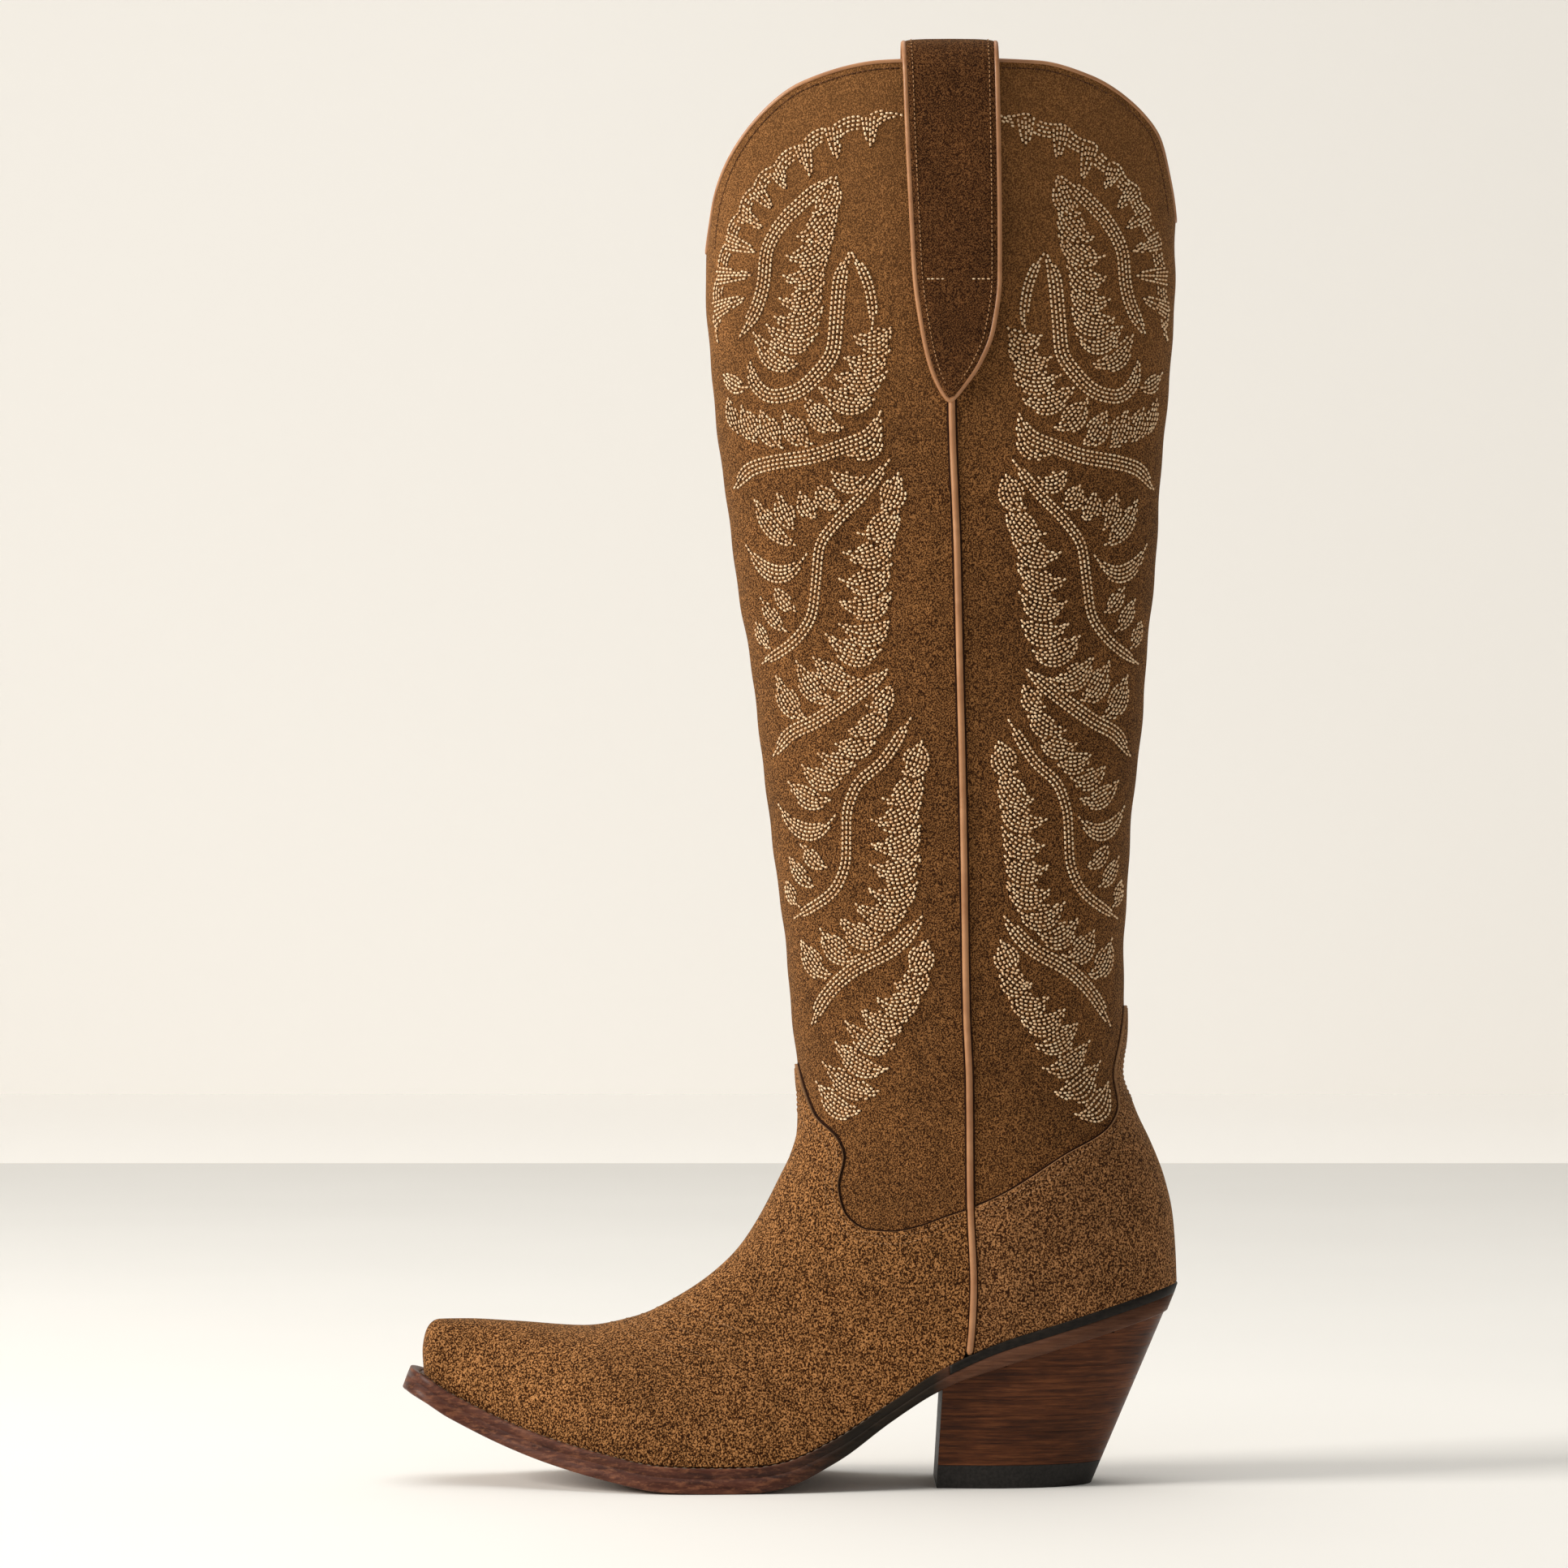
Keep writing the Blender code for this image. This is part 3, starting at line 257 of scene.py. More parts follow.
def smooth(knots, values, at):
    """A cubic through the values that never bulges past a knot."""
    knots, values = np.asarray(knots, float), np.asarray(values, float)
    at = np.clip(np.asarray(at, float), knots[0], knots[-1])
    step = np.diff(knots)
    rise = np.diff(values) / step
    slope = np.zeros_like(values)
    same = rise[:-1] * rise[1:] > 0
    before, after = rise[:-1][same], rise[1:][same]
    slope[1:-1][same] = 2 * before * after / (before + after)
    slope[0], slope[-1] = rise[0], rise[-1]
    i = np.clip(np.searchsorted(knots, at, side="right") - 1, 0, len(step) - 1)
    s = (at - knots[i]) / step[i]
    start = values[i] * (1 + 2 * s) + slope[i] * step[i] * s
    end = values[i + 1] * (3 - 2 * s) - slope[i + 1] * step[i] * (1 - s)
    return start * (1 - s) ** 2 + end * s**2


def by_x(points, x):
    """z (or another value) of a line given as (x, value) points."""
    return smooth([p[0] for p in points], [p[1] for p in points], x)


def section(t):
    """The columns of SECTIONS at station t, which may lie between two of them."""
    return [smooth(range(len(SECTIONS)), column, t) for column in SECTIONS.T]


def surface(t, angle):
    """Points on the upper."""
    t, angle = np.broadcast_arrays(np.asarray(t, float), np.asarray(angle, float))
    ax, az, bx, bz, outer, inner, middle = section(t)
    share = (1 - np.cos(np.radians(angle))) / 2
    side = np.sin(np.radians(angle))
    half = np.where(side >= 0, outer, inner)
    return np.stack([ax + (bx - ax) * share, middle - half * side, az + (bz - az) * share], -1)


def normals(t, angle):
    """Outward directions on the upper."""
    near = np.clip(t, 0.03, TOE_TIP - 0.15)
    along = surface(near + 0.03, angle) - surface(near - 0.03, angle)
    across = surface(near, np.asarray(angle) + 1) - surface(near, np.asarray(angle) - 1)
    normal = np.cross(along, across)
    return normal / np.linalg.norm(normal, axis=-1, keepdims=True)


def ripple(points):
    """Slight unevenness of the soft shaft, in mm."""
    x, y, z = np.moveaxis(points, -1, 0)
    slow = 0.28 * np.sin(0.105 * z + 0.04 * x) * np.sin(0.06 * x + 0.9)
    quick = 0.14 * np.sin(0.29 * z - 0.1 * x + 0.13 * y)
    return (slow + quick) * np.clip((z - 105) / 50, 0, 1)


def skin(t, angle, out=0.0):
    """Points a distance out from the finished, slightly uneven surface."""
    t, angle = np.broadcast_arrays(np.asarray(t, float), np.asarray(angle, float))
    points = surface(t, angle)
    return points + (out + ripple(points))[..., None] * normals(t, angle)


def bisected(low, high, is_short, turns=40):
    """The value between low and high where is_short(value) stops being true."""
    for _ in range(turns):
        value = (low + high) / 2
        short = is_short(value)
        low, high = np.where(short, value, low), np.where(short, high, value)
    return value


def located(points):
    """Station and angle on the outer side of each (x, z) seen from the side."""
    x, z = np.asarray(points, float).T

    def above(t):
        ax, az, bx, bz = section(t)[:4]
        return (bx - ax) * (z - az) - (bz - az) * (x - ax) < 0

    t = bisected(np.zeros(len(x)), np.full(len(x), float(TOE_TIP)), above)
    ax, az, bx, bz = section(t)[:4]
    reach = (x - ax) * (bx - ax) + (z - az) * (bz - az)
    share = np.clip(reach / ((bx - ax) ** 2 + (bz - az) ** 2), 0, 1)
    return np.stack([t, np.degrees(np.arccos(1 - 2 * share))], -1)


def lengths(path):
    """Distance run along a path at each of its points."""
    return np.r_[0, np.cumsum(np.linalg.norm(np.diff(path, axis=0), axis=1))]


def points_at(path, run, at):
    """Points of a path at the distances given, where run is its lengths."""
    return np.stack([np.interp(at, run, column) for column in path.T], -1)


def evenly(path, count):
    """count + 1 evenly spaced points along a path."""
    path = np.asarray(path, float)
    run = lengths(path)
    return points_at(path, run, np.linspace(0, run[-1], count + 1))


def resampled(path, step):
    """The path with points every step mm."""
    return evenly(path, max(1, int(lengths(path)[-1] / step)))


def directions(path):
    way = np.gradient(np.asarray(path, float), axis=0)
    return way / np.linalg.norm(way, axis=1, keepdims=True)


def turned(way):
    """Directions in a plane, turned a quarter to the left."""
    return np.stack([-way[:, 1], way[:, 0]], -1)


def line(points, count, shift=0.0):
    """count + 1 even points along a smooth line, moved sideways by shift."""
    points = np.asarray(points, float)
    run = lengths(points)
    fine = np.linspace(0, run[-1], 400)
    curve = np.stack([smooth(run, column, fine) for column in points.T], -1)
    return evenly(curve + shift * turned(directions(curve)), count)


def seam_angle(t, shift=0.0):
    """Angle of the side seam at station t, or of a line shift mm behind it."""
    ax, az, bx, bz = section(t)[:4]
    share = np.full_like(ax, 0.5)
    for _ in range(12):
        height = az + (bz - az) * share
        seam_x = smooth([-p[0] for p in SEAM], [p[1] for p in SEAM], -height) + shift
        share = np.clip((seam_x - ax) / (bx - ax), 0.02, 0.98)
    return np.degrees(np.arccos(1 - 2 * share))


def station(x, z):
    return located([(x, z)])[0, 0]


def feather(x):
    return by_x(FEATHER, x)


def feather_point(t, lift=0.0):
    """x where station t crosses the feather line, or a line that much above it."""
    ax, az, bx, bz = section(t)[:4]
    share = bisected(0.0, 1.0, lambda s: az + (bz - az) * s > feather(ax + (bx - ax) * s) + lift)
    return ax + (bx - ax) * share


def split_line(points, x, front):
    """The stretch of an (x, z) line in front of x, or behind it."""
    end = (x, float(by_x(points, x)))
    if front:
        return [p for p in points if p[0] < x - 1] + [end]
    return [end] + [p for p in points if p[0] > x + 1]


def coons(top, bottom, left, right, rows):
    """Grid of (station, angle) between four edges."""
    v = np.linspace(0, 1, rows + 1)[:, None, None]
    u = np.linspace(0, 1, len(top))[None, :, None]
    left, right = left[:, None, :], right[:, None, :]
    corners = (1 - u) * ((1 - v) * top[0] + v * bottom[0]) + u * ((1 - v) * top[-1] + v * bottom[-1])
    return (1 - v) * top[None] + v * bottom[None] + (1 - u) * left + u * right - corners


def mirrored(half, back=False):
    """Both sides from the (station, angle) of the outer one, joined at the front ridge or the back one."""
    if back:
        return np.concatenate([half, half[..., -2::-1, :] * (1, -1) + (0, 360)], axis=-2)
    return np.concatenate([half[..., :0:-1, :] * (1, -1), half], axis=-2)


def panel_patch(top, bottom, rows, back):
    """Grid over the front or the back of the boot, from seam to seam, between two (x, z) lines."""
    top, bottom = (located(line(points, PATCH_COLUMNS)) for points in (top, bottom))
    ridge, seam = (-1, 0) if back else (0, -1)
    middle = np.linspace(top[ridge, 0], bottom[ridge, 0], rows + 1)
    middle = np.stack([middle, np.full(rows + 1, 180.0 if back else 0.0)], -1)
    side = np.linspace(top[seam, 0], bottom[seam, 0], rows + 1)
    side = np.stack([side, seam_angle(side, SEAM_HALF_WIDTH if back else -SEAM_HALF_WIDTH)], -1)
    for end, edge in ((ridge, middle), (seam, side)):
        top[end, 1], bottom[end, 1] = edge[0, 1], edge[-1, 1]
    left, right = (side, middle) if back else (middle, side)
    return mirrored(coons(top, bottom, left, right, rows), back)


def seam_foot(lift):
    """Station where the front edge of the side seam meets the feather line."""
    x = SEAM_FOOT_X - SEAM_HALF_WIDTH
    return station(x, feather(x) + lift)


def limit_angle(t, lift):
    """Angle where station t meets the side seam or the feather line, whichever comes first."""
    feather_x = np.array([feather_point(s, lift) for s in t])
    at_sole = located(np.stack([feather_x, feather(feather_x) + lift], -1))[:, 1]
    return np.where(t < seam_foot(lift), seam_angle(t, -SEAM_HALF_WIDTH), at_sole)


def vamp_patch(top, columns, lift, density):
    """Grid over the forefoot from an (x, z) line at its top to the toe tip."""
    top = located(line(top, columns))
    stops = (top[-1, 0], seam_foot(lift), WAIST_END, BALL_END, TOE_TIP)
    counts = [n * density for n in (2, 4, 4, 7)]
    side = [np.linspace(a, b, n + 1)[1:] for a, b, n in zip(stops, stops[1:], counts)]
    side = np.concatenate([[stops[0]]] + side)
    rows = len(side) - 1
    right = np.stack([side, limit_angle(side, lift)], -1)
    top[0, 1], top[-1, 1] = 0, right[0, 1]
    lead = (side[0] - top[0, 0]) * (1 - np.linspace(0, 1, rows + 1)) ** 1.5
    left = np.stack([side - lead, np.zeros(rows + 1)], -1)
    bottom = np.linspace(0, right[-1, 1], columns + 1)
    bottom = np.stack([np.full(columns + 1, float(TOE_TIP)), bottom], -1)
    return mirrored(coons(top, bottom, left, right, rows))


# ---------------------------------------------------------------- meshes


def mesh_object(name, points, faces, finish):
    """An object from points in mm and faces, either a list or arrays of corners, with smooth shading."""
    mesh = bpy.data.meshes.new(name)
    corners = [np.asarray(group, int).reshape(-1, np.asarray(group).shape[-1]) for group in faces]
    sizes = np.concatenate([np.full(len(group), group.shape[1]) for group in corners])
    flat = np.concatenate([group.ravel() for group in corners])
    mesh.vertices.add(len(points))
    mesh.vertices.foreach_set("co", (np.asarray(points) * MM).ravel())
    mesh.loops.add(len(flat))
    mesh.loops.foreach_set("vertex_index", flat)
    mesh.polygons.add(len(sizes))
    mesh.polygons.foreach_set("loop_start", np.r_[0, np.cumsum(sizes)[:-1]])
    mesh.polygons.foreach_set("loop_total", sizes)
    mesh.update(calc_edges=True)
    mesh.validate()
    mesh.shade_smooth()
    mesh.materials.append(finish)
    made = bpy.data.objects.new(name, mesh)
    bpy.context.collection.objects.link(made)
    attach(made, BODY)
    return made


def bevel(made, width, segments=2, angle=50):
    edge = made.modifiers.new("edge", "BEVEL")
    edge.width = width * MM
    edge.segments = segments
    edge.limit_method = "ANGLE"
    edge.angle_limit = math.radians(angle)
    return made


def second_finish(made, finish, chosen):
    """Gives some faces a second finish: chosen is a slice or a list of flags."""
    made.data.materials.append(finish)
    index = np.zeros(len(made.data.polygons), int)
    index[chosen] = 1
    made.data.polygons.foreach_set("material_index", index)


def shell(name, grid, layer, finish, edge=None):
    """A leather panel between two distances from the surface. Its cut edge can have its own finish."""
    rows, columns = grid.shape[:2]
    points = np.concatenate([skin(grid[..., 0], grid[..., 1], out).reshape(-1, 3) for out in layer])
    index = np.arange(rows * columns).reshape(rows, columns)
    quads = np.stack([index[:-1, :-1], index[1:, :-1], index[1:, 1:], index[:-1, 1:]], -1).reshape(-1, 4)
    border = np.concatenate([index[0], index[1:, -1], index[-1, -2::-1], index[-2:0:-1, 0]])
    after = np.roll(border, -1)
    inside = rows * columns
    rim = np.stack([border, after, after + inside, border + inside], -1)
    made = mesh_object(name, points, [quads, quads[:, ::-1] + inside, rim], finish)
    if edge:
        second_finish(made, edge, slice(-len(rim), None))
    return made


def band(index):
    """Quads between the loops of points in the rows of index."""
    ahead, following = index[:-1], index[1:]
    quads = [ahead, np.roll(ahead, -1, axis=1), np.roll(following, -1, axis=1), following]
    return np.stack(quads, -1).reshape(-1, 4)


def swept(name, loops, finish):
    """A solid through rows of loops, capped at both ends."""
    loops = np.asarray(loops, float)
    index = np.arange(loops.shape[0] * loops.shape[1]).reshape(loops.shape[:2])
    faces = [band(index), index[0][::-1][None], index[-1][None]]
    return mesh_object(name, loops.reshape(-1, 3), faces, finish)


def tube(name, path, radius, finish, sides=10):
    """A round cord along a path. Its rings keep a steady direction and its ends are rounded."""
    path = np.asarray(path, float)
    way = directions(path)
    across = np.cross(way[0], (0.3, 1, 0.2))
    turn = np.linspace(0, 2 * math.pi, sides, endpoint=False)[:, None]
    loops = []
    for k, (centre, along) in enumerate(zip(path, way)):
        across = across - along * (across @ along)
        across /= np.linalg.norm(across)
        other = np.cross(along, across)
        size = radius * (0.5 if k in (0, len(path) - 1) else 1.0)
        loops.append(centre + size * (np.cos(turn) * across + np.sin(turn) * other))
    return swept(name, loops, finish)


# ---------------------------------------------------------------- materials


class Paint:
    """A procedural material, built node by node. Its textures lie in the object's own space, in metres."""

    def __init__(self, name, roughness, **fixed):
        self.finish = bpy.data.materials.new(name)
        self.finish.use_nodes = True
        self.nodes, self.links = self.finish.node_tree.nodes, self.finish.node_tree.links
        self.shader = self.nodes["Principled BSDF"]
        self.shader.inputs["Roughness"].default_value = roughness
        for socket, value in fixed.items():
            self.shader.inputs[socket.replace("_", " ")].default_value = value
        self.space = self.nodes.new("ShaderNodeTexCoord").outputs["Object"]

    def plug(self, socket, value):
        if isinstance(value, (int, float, tuple)):
            socket.default_value = value
        else:
            self.links.new(value, socket)

    def noise(self, scale, detail=3.0, rough=0.55, stretch=(1, 1, 1), twist=0.0):
        space = self.space
        if stretch != (1, 1, 1):
            mapping = self.nodes.new("ShaderNodeMapping")
            mapping.inputs["Scale"].default_value = stretch
            self.links.new(space, mapping.inputs["Vector"])
            space = mapping.outputs["Vector"]
        texture = self.nodes.new("ShaderNodeTexNoise")
        self.links.new(space, texture.inputs["Vector"])
        values = {"Scale": scale, "Detail": detail, "Roughness": rough, "Distortion": twist}
        for socket, value in values.items():
            texture.inputs[socket].default_value = value
        return texture.outputs["Fac"]

    def ramp(self, factor, *stops):
        """Colours or greys at positions along a factor."""
        ramp = self.nodes.new("ShaderNodeValToRGB")
        elements = ramp.color_ramp.elements
        while len(elements) < len(stops):
            elements.new(0.5)
        for element, (position, colour) in zip(elements, stops):
            element.position = position
            element.color = (*colour, 1) if isinstance(colour, tuple) else (colour, colour, colour, 1)
        self.links.new(factor, ramp.inputs["Fac"])
        return ramp.outputs["Color"]

    def mix(self, factor, first, second, how="MIX"):
        mix = self.nodes.new("ShaderNodeMix")
        mix.data_type = "RGBA"
        mix.blend_type = how
        self.plug(mix.inputs["Factor"], factor)
        for name, value in (("A", first), ("B", second)):
            socket = [s for s in mix.inputs if s.name == name and s.type == "RGBA"][0]
            self.plug(socket, (*value, 1) if isinstance(value, tuple) else value)
        return [s for s in mix.outputs if s.type == "RGBA"][0]

    def darkened(self, colour, factor):
        """The colour, multiplied by a grey."""
        return self.mix(1.0, colour, factor, "MULTIPLY")

    def along(self, axis, start, end):
        """0 to 1 from start to end, in metres, along an axis of the boot."""
        parts = self.nodes.new("ShaderNodeSeparateXYZ")
        self.links.new(self.space, parts.inputs[0])
        span = self.nodes.new("ShaderNodeMapRange")
        self.links.new(parts.outputs[axis], span.inputs["Value"])
        span.inputs["From Min"].default_value = start
        span.inputs["From Max"].default_value = end
        return span.outputs["Result"]

    def colour(self, value):
        self.plug(self.shader.inputs["Base Color"], value)
        return self

    def roughness(self, value):
        self.plug(self.shader.inputs["Roughness"], value)
        return self

    def bump(self, height, distance, strength=1.0):
        """Adds relief, of so many mm, over the relief the material already has."""
        node = self.nodes.new("ShaderNodeBump")
        node.inputs["Strength"].default_value = strength
        node.inputs["Distance"].default_value = distance * MM
        self.links.new(height, node.inputs["Height"])
        normal = self.shader.inputs["Normal"]
        if normal.is_linked:
            self.links.new(normal.links[0].from_socket, node.inputs["Normal"])
        self.links.new(node.outputs["Normal"], normal)
        return self


# Heights or places of the slow changes of tone, in metres: start and end. The first is a painted highlight
# that lightens the upper shaft; the other two are the sole edge's own colours.
LIT_SHAFT_TOP, BLACK_WAIST, BROWN_HEEL = (0.34, 0.49), (-0.02, 0.02), (0.050, 0.056)


def suede(name, tones, patch, grain, top_highlight=0.0):
    """Short-napped suede: fine flecks of dark and light, over patches where the nap lies differently, and,
    where asked for, a painted highlight that lightens the upper part towards the light tone.
    """
    light = tones[-1]
    sheen = {"Sheen_Weight": 0.14, "Sheen_Roughness": 0.4, "Sheen_Tint": (1.0, 0.66, 0.38, 1)}
    paint = Paint(name, 0.95, Specular_IOR_Level=0.08, **sheen)
    flecks = paint.noise(grain, 2, 0.6, (1, 1, 0.85), 0.25)
    base = paint.ramp(flecks, *zip((0.43, 0.5, 0.58), tones))
    slow = paint.ramp(paint.noise(26, 3, 0.6, (1, 1, 0.7), 0.6), (0.3, 1 - patch), (0.7, 1.0))
    scuff = paint.ramp(paint.noise(240, 4, 0.75, (1, 1, 0.7), 0.8), (0.40, 0.74), (0.60, 1.0))
    base = paint.darkened(paint.darkened(base, slow), scuff)
    # Painted highlight: the upper shaft is mixed towards the light tone, for the light that falls there.
    if top_highlight:
        highlight_share = paint.ramp(paint.along("Z", *LIT_SHAFT_TOP), (0.0, 0.0), (1.0, top_highlight))
        base = paint.mix(highlight_share, base, light)
    paint.colour(base)
    paint.bump(flecks, 0.45, 1.0)
    paint.bump(paint.noise(120, 3), 0.25, 0.6)
    return paint.finish


def thread(name, dark, light, shine=0.35):
    sheen = {"Sheen_Weight": 0.08, "Sheen_Tint": (1.0, 0.8, 0.6, 1)}
    paint = Paint(name, 0.55, Specular_IOR_Level=shine, **sheen)
    paint.colour(paint.ramp(paint.noise(380, 2, 0.6), (0.35, dark), (0.65, light)))
    paint.bump(paint.noise(5200, 1, 0.5, (1, 1, 0.35)), 0.08, 0.7)
    return paint.finish


def smooth_leather(name, dark, light, roughness, grain=900, relief=0.08):
    paint = Paint(name, roughness, Specular_IOR_Level=0.45)
    blotches = paint.noise(70, 4, 0.65, (1, 1, 1), 0.5)
    paint.colour(paint.ramp(blotches, (0.3, dark), (0.7, light)))
    pores = paint.noise(grain, 3, 0.6)
    paint.roughness(paint.ramp(pores, (0.3, roughness - 0.08), (0.7, roughness + 0.12)))
    paint.bump(pores, relief)
    return paint.finish


def sole_edge():
    """Edge of the welt and outsole: worn red-brown round the forefoot, almost black at the waist."""
    paint = Paint("sole_edge", 0.42, Specular_IOR_Level=0.16)
    streaks = paint.noise(60, 5, 0.7, (1, 1, 6), 0.6)
    browns = (0.034, 0.011, 0.007), (0.083, 0.027, 0.016), (0.17, 0.066, 0.035)
    brown = paint.ramp(streaks, *zip((0.34, 0.52, 0.70), browns))
    worn = paint.ramp(paint.noise(240, 4, 0.7, (1, 1, 3)), (0.50, 0.0), (0.70, 0.65))
    brown = paint.mix(worn, brown, (0.27, 0.105, 0.050))
    black = paint.ramp(streaks, (0.3, (0.007, 0.005, 0.003)), (0.7, (0.022, 0.014, 0.008)))
    grain = paint.noise(300, 5, 0.7, (0.35, 0.35, 5))
    heel = paint.ramp(grain, (0.3, (0.050, 0.018, 0.009)), (0.7, (0.13, 0.055, 0.028)))
    colour = paint.mix(paint.ramp(paint.along("X", *BLACK_WAIST), (0.2, 0.0), (1.0, 1.0)), brown, black)
    paint.colour(paint.mix(paint.ramp(paint.along("X", *BROWN_HEEL), (0.0, 0.0), (1.0, 1.0)), colour, heel))
    paint.roughness(paint.ramp(streaks, (0.3, 0.32), (0.7, 0.55)))
    paint.bump(paint.noise(420, 4, 0.65, (1, 1, 2.5)), 0.12, 0.7)
    return paint.finish


def heel_stack():
    """Stacked leather: fine level layers, dark red-brown with lighter streaks."""
    paint = Paint("heel_stack", 0.4, Specular_IOR_Level=0.12)
    layers = paint.noise(560, 4, 0.7, (0.09, 0.09, 1.7), 0.1)
    blotch = paint.noise(38, 4, 0.6, (1, 1, 1.6))
    browns = (0.030, 0.009, 0.004), (0.086, 0.026, 0.009), (0.165, 0.055, 0.019)
    base = paint.ramp(layers, *zip((0.32, 0.50, 0.68), browns))
    base = paint.darkened(base, paint.ramp(blotch, (0.3, 0.6), (0.7, 1.15)))
    orange = paint.ramp(paint.noise(160, 3, 0.6, (0.5, 0.5, 6)), (0.60, 0.0), (0.80, 0.55))
    paint.colour(paint.mix(orange, base, (0.22, 0.080, 0.032)))
    paint.roughness(paint.ramp(layers, (0.3, 0.3), (0.7, 0.5)))
    paint.bump(layers, 0.10, 0.7)
    return paint.finish


def speckled(name, dark, light, roughness, scale, relief, metallic=0.0, stretch=(1, 1, 1), shine=0.4):
    """Any plainer material with a grain of its own: board, cork, rubber, wood, metal."""
    paint = Paint(name, roughness, Metallic=metallic, Specular_IOR_Level=shine)
    grain = paint.noise(scale, 4, 0.6, stretch)
    paint.colour(paint.ramp(grain, (0.35, dark), (0.65, light)))
    paint.roughness(paint.ramp(grain, (0.3, roughness - 0.06), (0.7, roughness + 0.08)))
    paint.bump(grain, relief)
    return paint.finish


# Suede tones are dark, middle and light.
SHAFT_TONES = (0.034, 0.011, 0.003), (0.146, 0.056, 0.015), (0.38, 0.172, 0.058)
VAMP_TONES = (0.030, 0.009, 0.002), (0.170, 0.064, 0.016), (0.54, 0.252, 0.090)
COUNTER_TONES = (0.036, 0.012, 0.004), (0.180, 0.070, 0.021), (0.54, 0.262, 0.105)
STRAP_TONES = (0.030, 0.009, 0.0025), (0.096, 0.034, 0.009), (0.23, 0.098, 0.034)
SHAFT_SUEDE = suede("suede_shaft", SHAFT_TONES, 0.28, 2300, 0.26)
VAMP_SUEDE = suede("suede_vamp", VAMP_TONES, 0.25, 1750)
COUNTER_SUEDE = suede("suede_counter", COUNTER_TONES, 0.30, 1750)
STRAP_SUEDE = suede("suede_strap", STRAP_TONES, 0.3, 2500)
TAN = smooth_leather("tan_piping", (0.29, 0.120, 0.045), (0.46, 0.225, 0.100), 0.38)
LINING = smooth_leather("lining_leather", (0.40, 0.27, 0.155), (0.52, 0.38, 0.235), 0.62, 700, 0.12)
CREAM = thread("thread_cream", (0.76, 0.47, 0.245), (1.0, 0.77, 0.50))
# Cut edges of the vamp and the counter: raw suede's lighter tone, made light enough to carry a painted
# highlight along the edge.
CUT_EDGE_HIGHLIGHT = speckled("cut_edge_highlight", (0.26, 0.125, 0.05), (0.46, 0.25, 0.115), 0.9, 1500, 0.1)
# Near-black finish of the cords of painted shadow along the vamp, the counter and the side seams.
SHADE_LINE = speckled("painted_shade_line", (0.012, 0.005, 0.003), (0.035, 0.014, 0.007), 0.9, 900, 0.1, shine=0.05)
BROWN = thread("thread_brown", (0.060, 0.022, 0.009), (0.14, 0.056, 0.022), 0.1)
FAWN = thread("thread_fawn", (0.26, 0.125, 0.05), (0.48, 0.26, 0.12), 0.12)
# Near-black diamonds of painted shade in the needle holes beside the stitches.
HOLE_SHADE = speckled("needle_hole_shade", (0.006, 0.003, 0.002), (0.020, 0.009, 0.005), 0.9, 900, 0.05, shine=0.05)
GREY = thread("thread_grey", (0.09, 0.060, 0.040), (0.24, 0.175, 0.125), 0.15)
SOLE_EDGE = sole_edge()
STACK = heel_stack()
BLACK_TONES = (0.006, 0.005, 0.004), (0.017, 0.013, 0.010)
BLACK_EDGE = speckled("black_edge", *BLACK_TONES, 0.5, 350, 0.08, stretch=(1, 1, 2.5), shine=0.14)
RUBBER = speckled("cap_rubber", (0.010, 0.009, 0.008), (0.024, 0.021, 0.019), 0.55, 900, 0.10, shine=0.2)
BOARD = speckled("stiffener_board", (0.28, 0.19, 0.11), (0.40, 0.29, 0.18), 0.85, 600, 0.10)
CORK = speckled("cork_filler", (0.16, 0.09, 0.045), (0.40, 0.26, 0.14), 0.9, 420, 0.35)
STEEL = speckled("shank_steel", (0.36, 0.36, 0.37), (0.50, 0.50, 0.52), 0.34, 300, 0.02, 1.0, (0.1, 1, 1))
BRASS = speckled("nail_brass", (0.48, 0.33, 0.12), (0.62, 0.46, 0.20), 0.32, 500, 0.02, 1.0)
PEG_WOOD = speckled(
    "peg_wood", (0.38, 0.25, 0.13), (0.60, 0.44, 0.26), 0.75, 500, 0.08, stretch=(1, 1, 0.2)
)


# ---------------------------------------------------------------- stitches


# Points of a stitch: its ends are 0 and 13, with three rings of four between. A needle hole's diamond of
# painted shade has two and a ring.
AROUND = [(k, (k + 1) % 4) for k in range(4)]
STITCH_SIDES = [(low + i, low + j, low + 4 + j, low + 4 + i) for low in (1, 5) for i, j in AROUND]
STITCH_TIPS = [(0, 1 + j, 1 + i) for i, j in AROUND] + [(13, 9 + i, 9 + j) for i, j in AROUND]
HOLE_SIDES = [(0, 2 + i, 2 + j) for i, j in AROUND] + [(1, 2 + j, 2 + i) for i, j in AROUND]


def repeated(faces, count, size, start=0):
    """The faces of count copies, of size points each, where the first copy starts at point start."""
    base = start + np.arange(count) * size
    return (base[:, None, None] + np.array(faces)).reshape(-1, len(faces[0]))


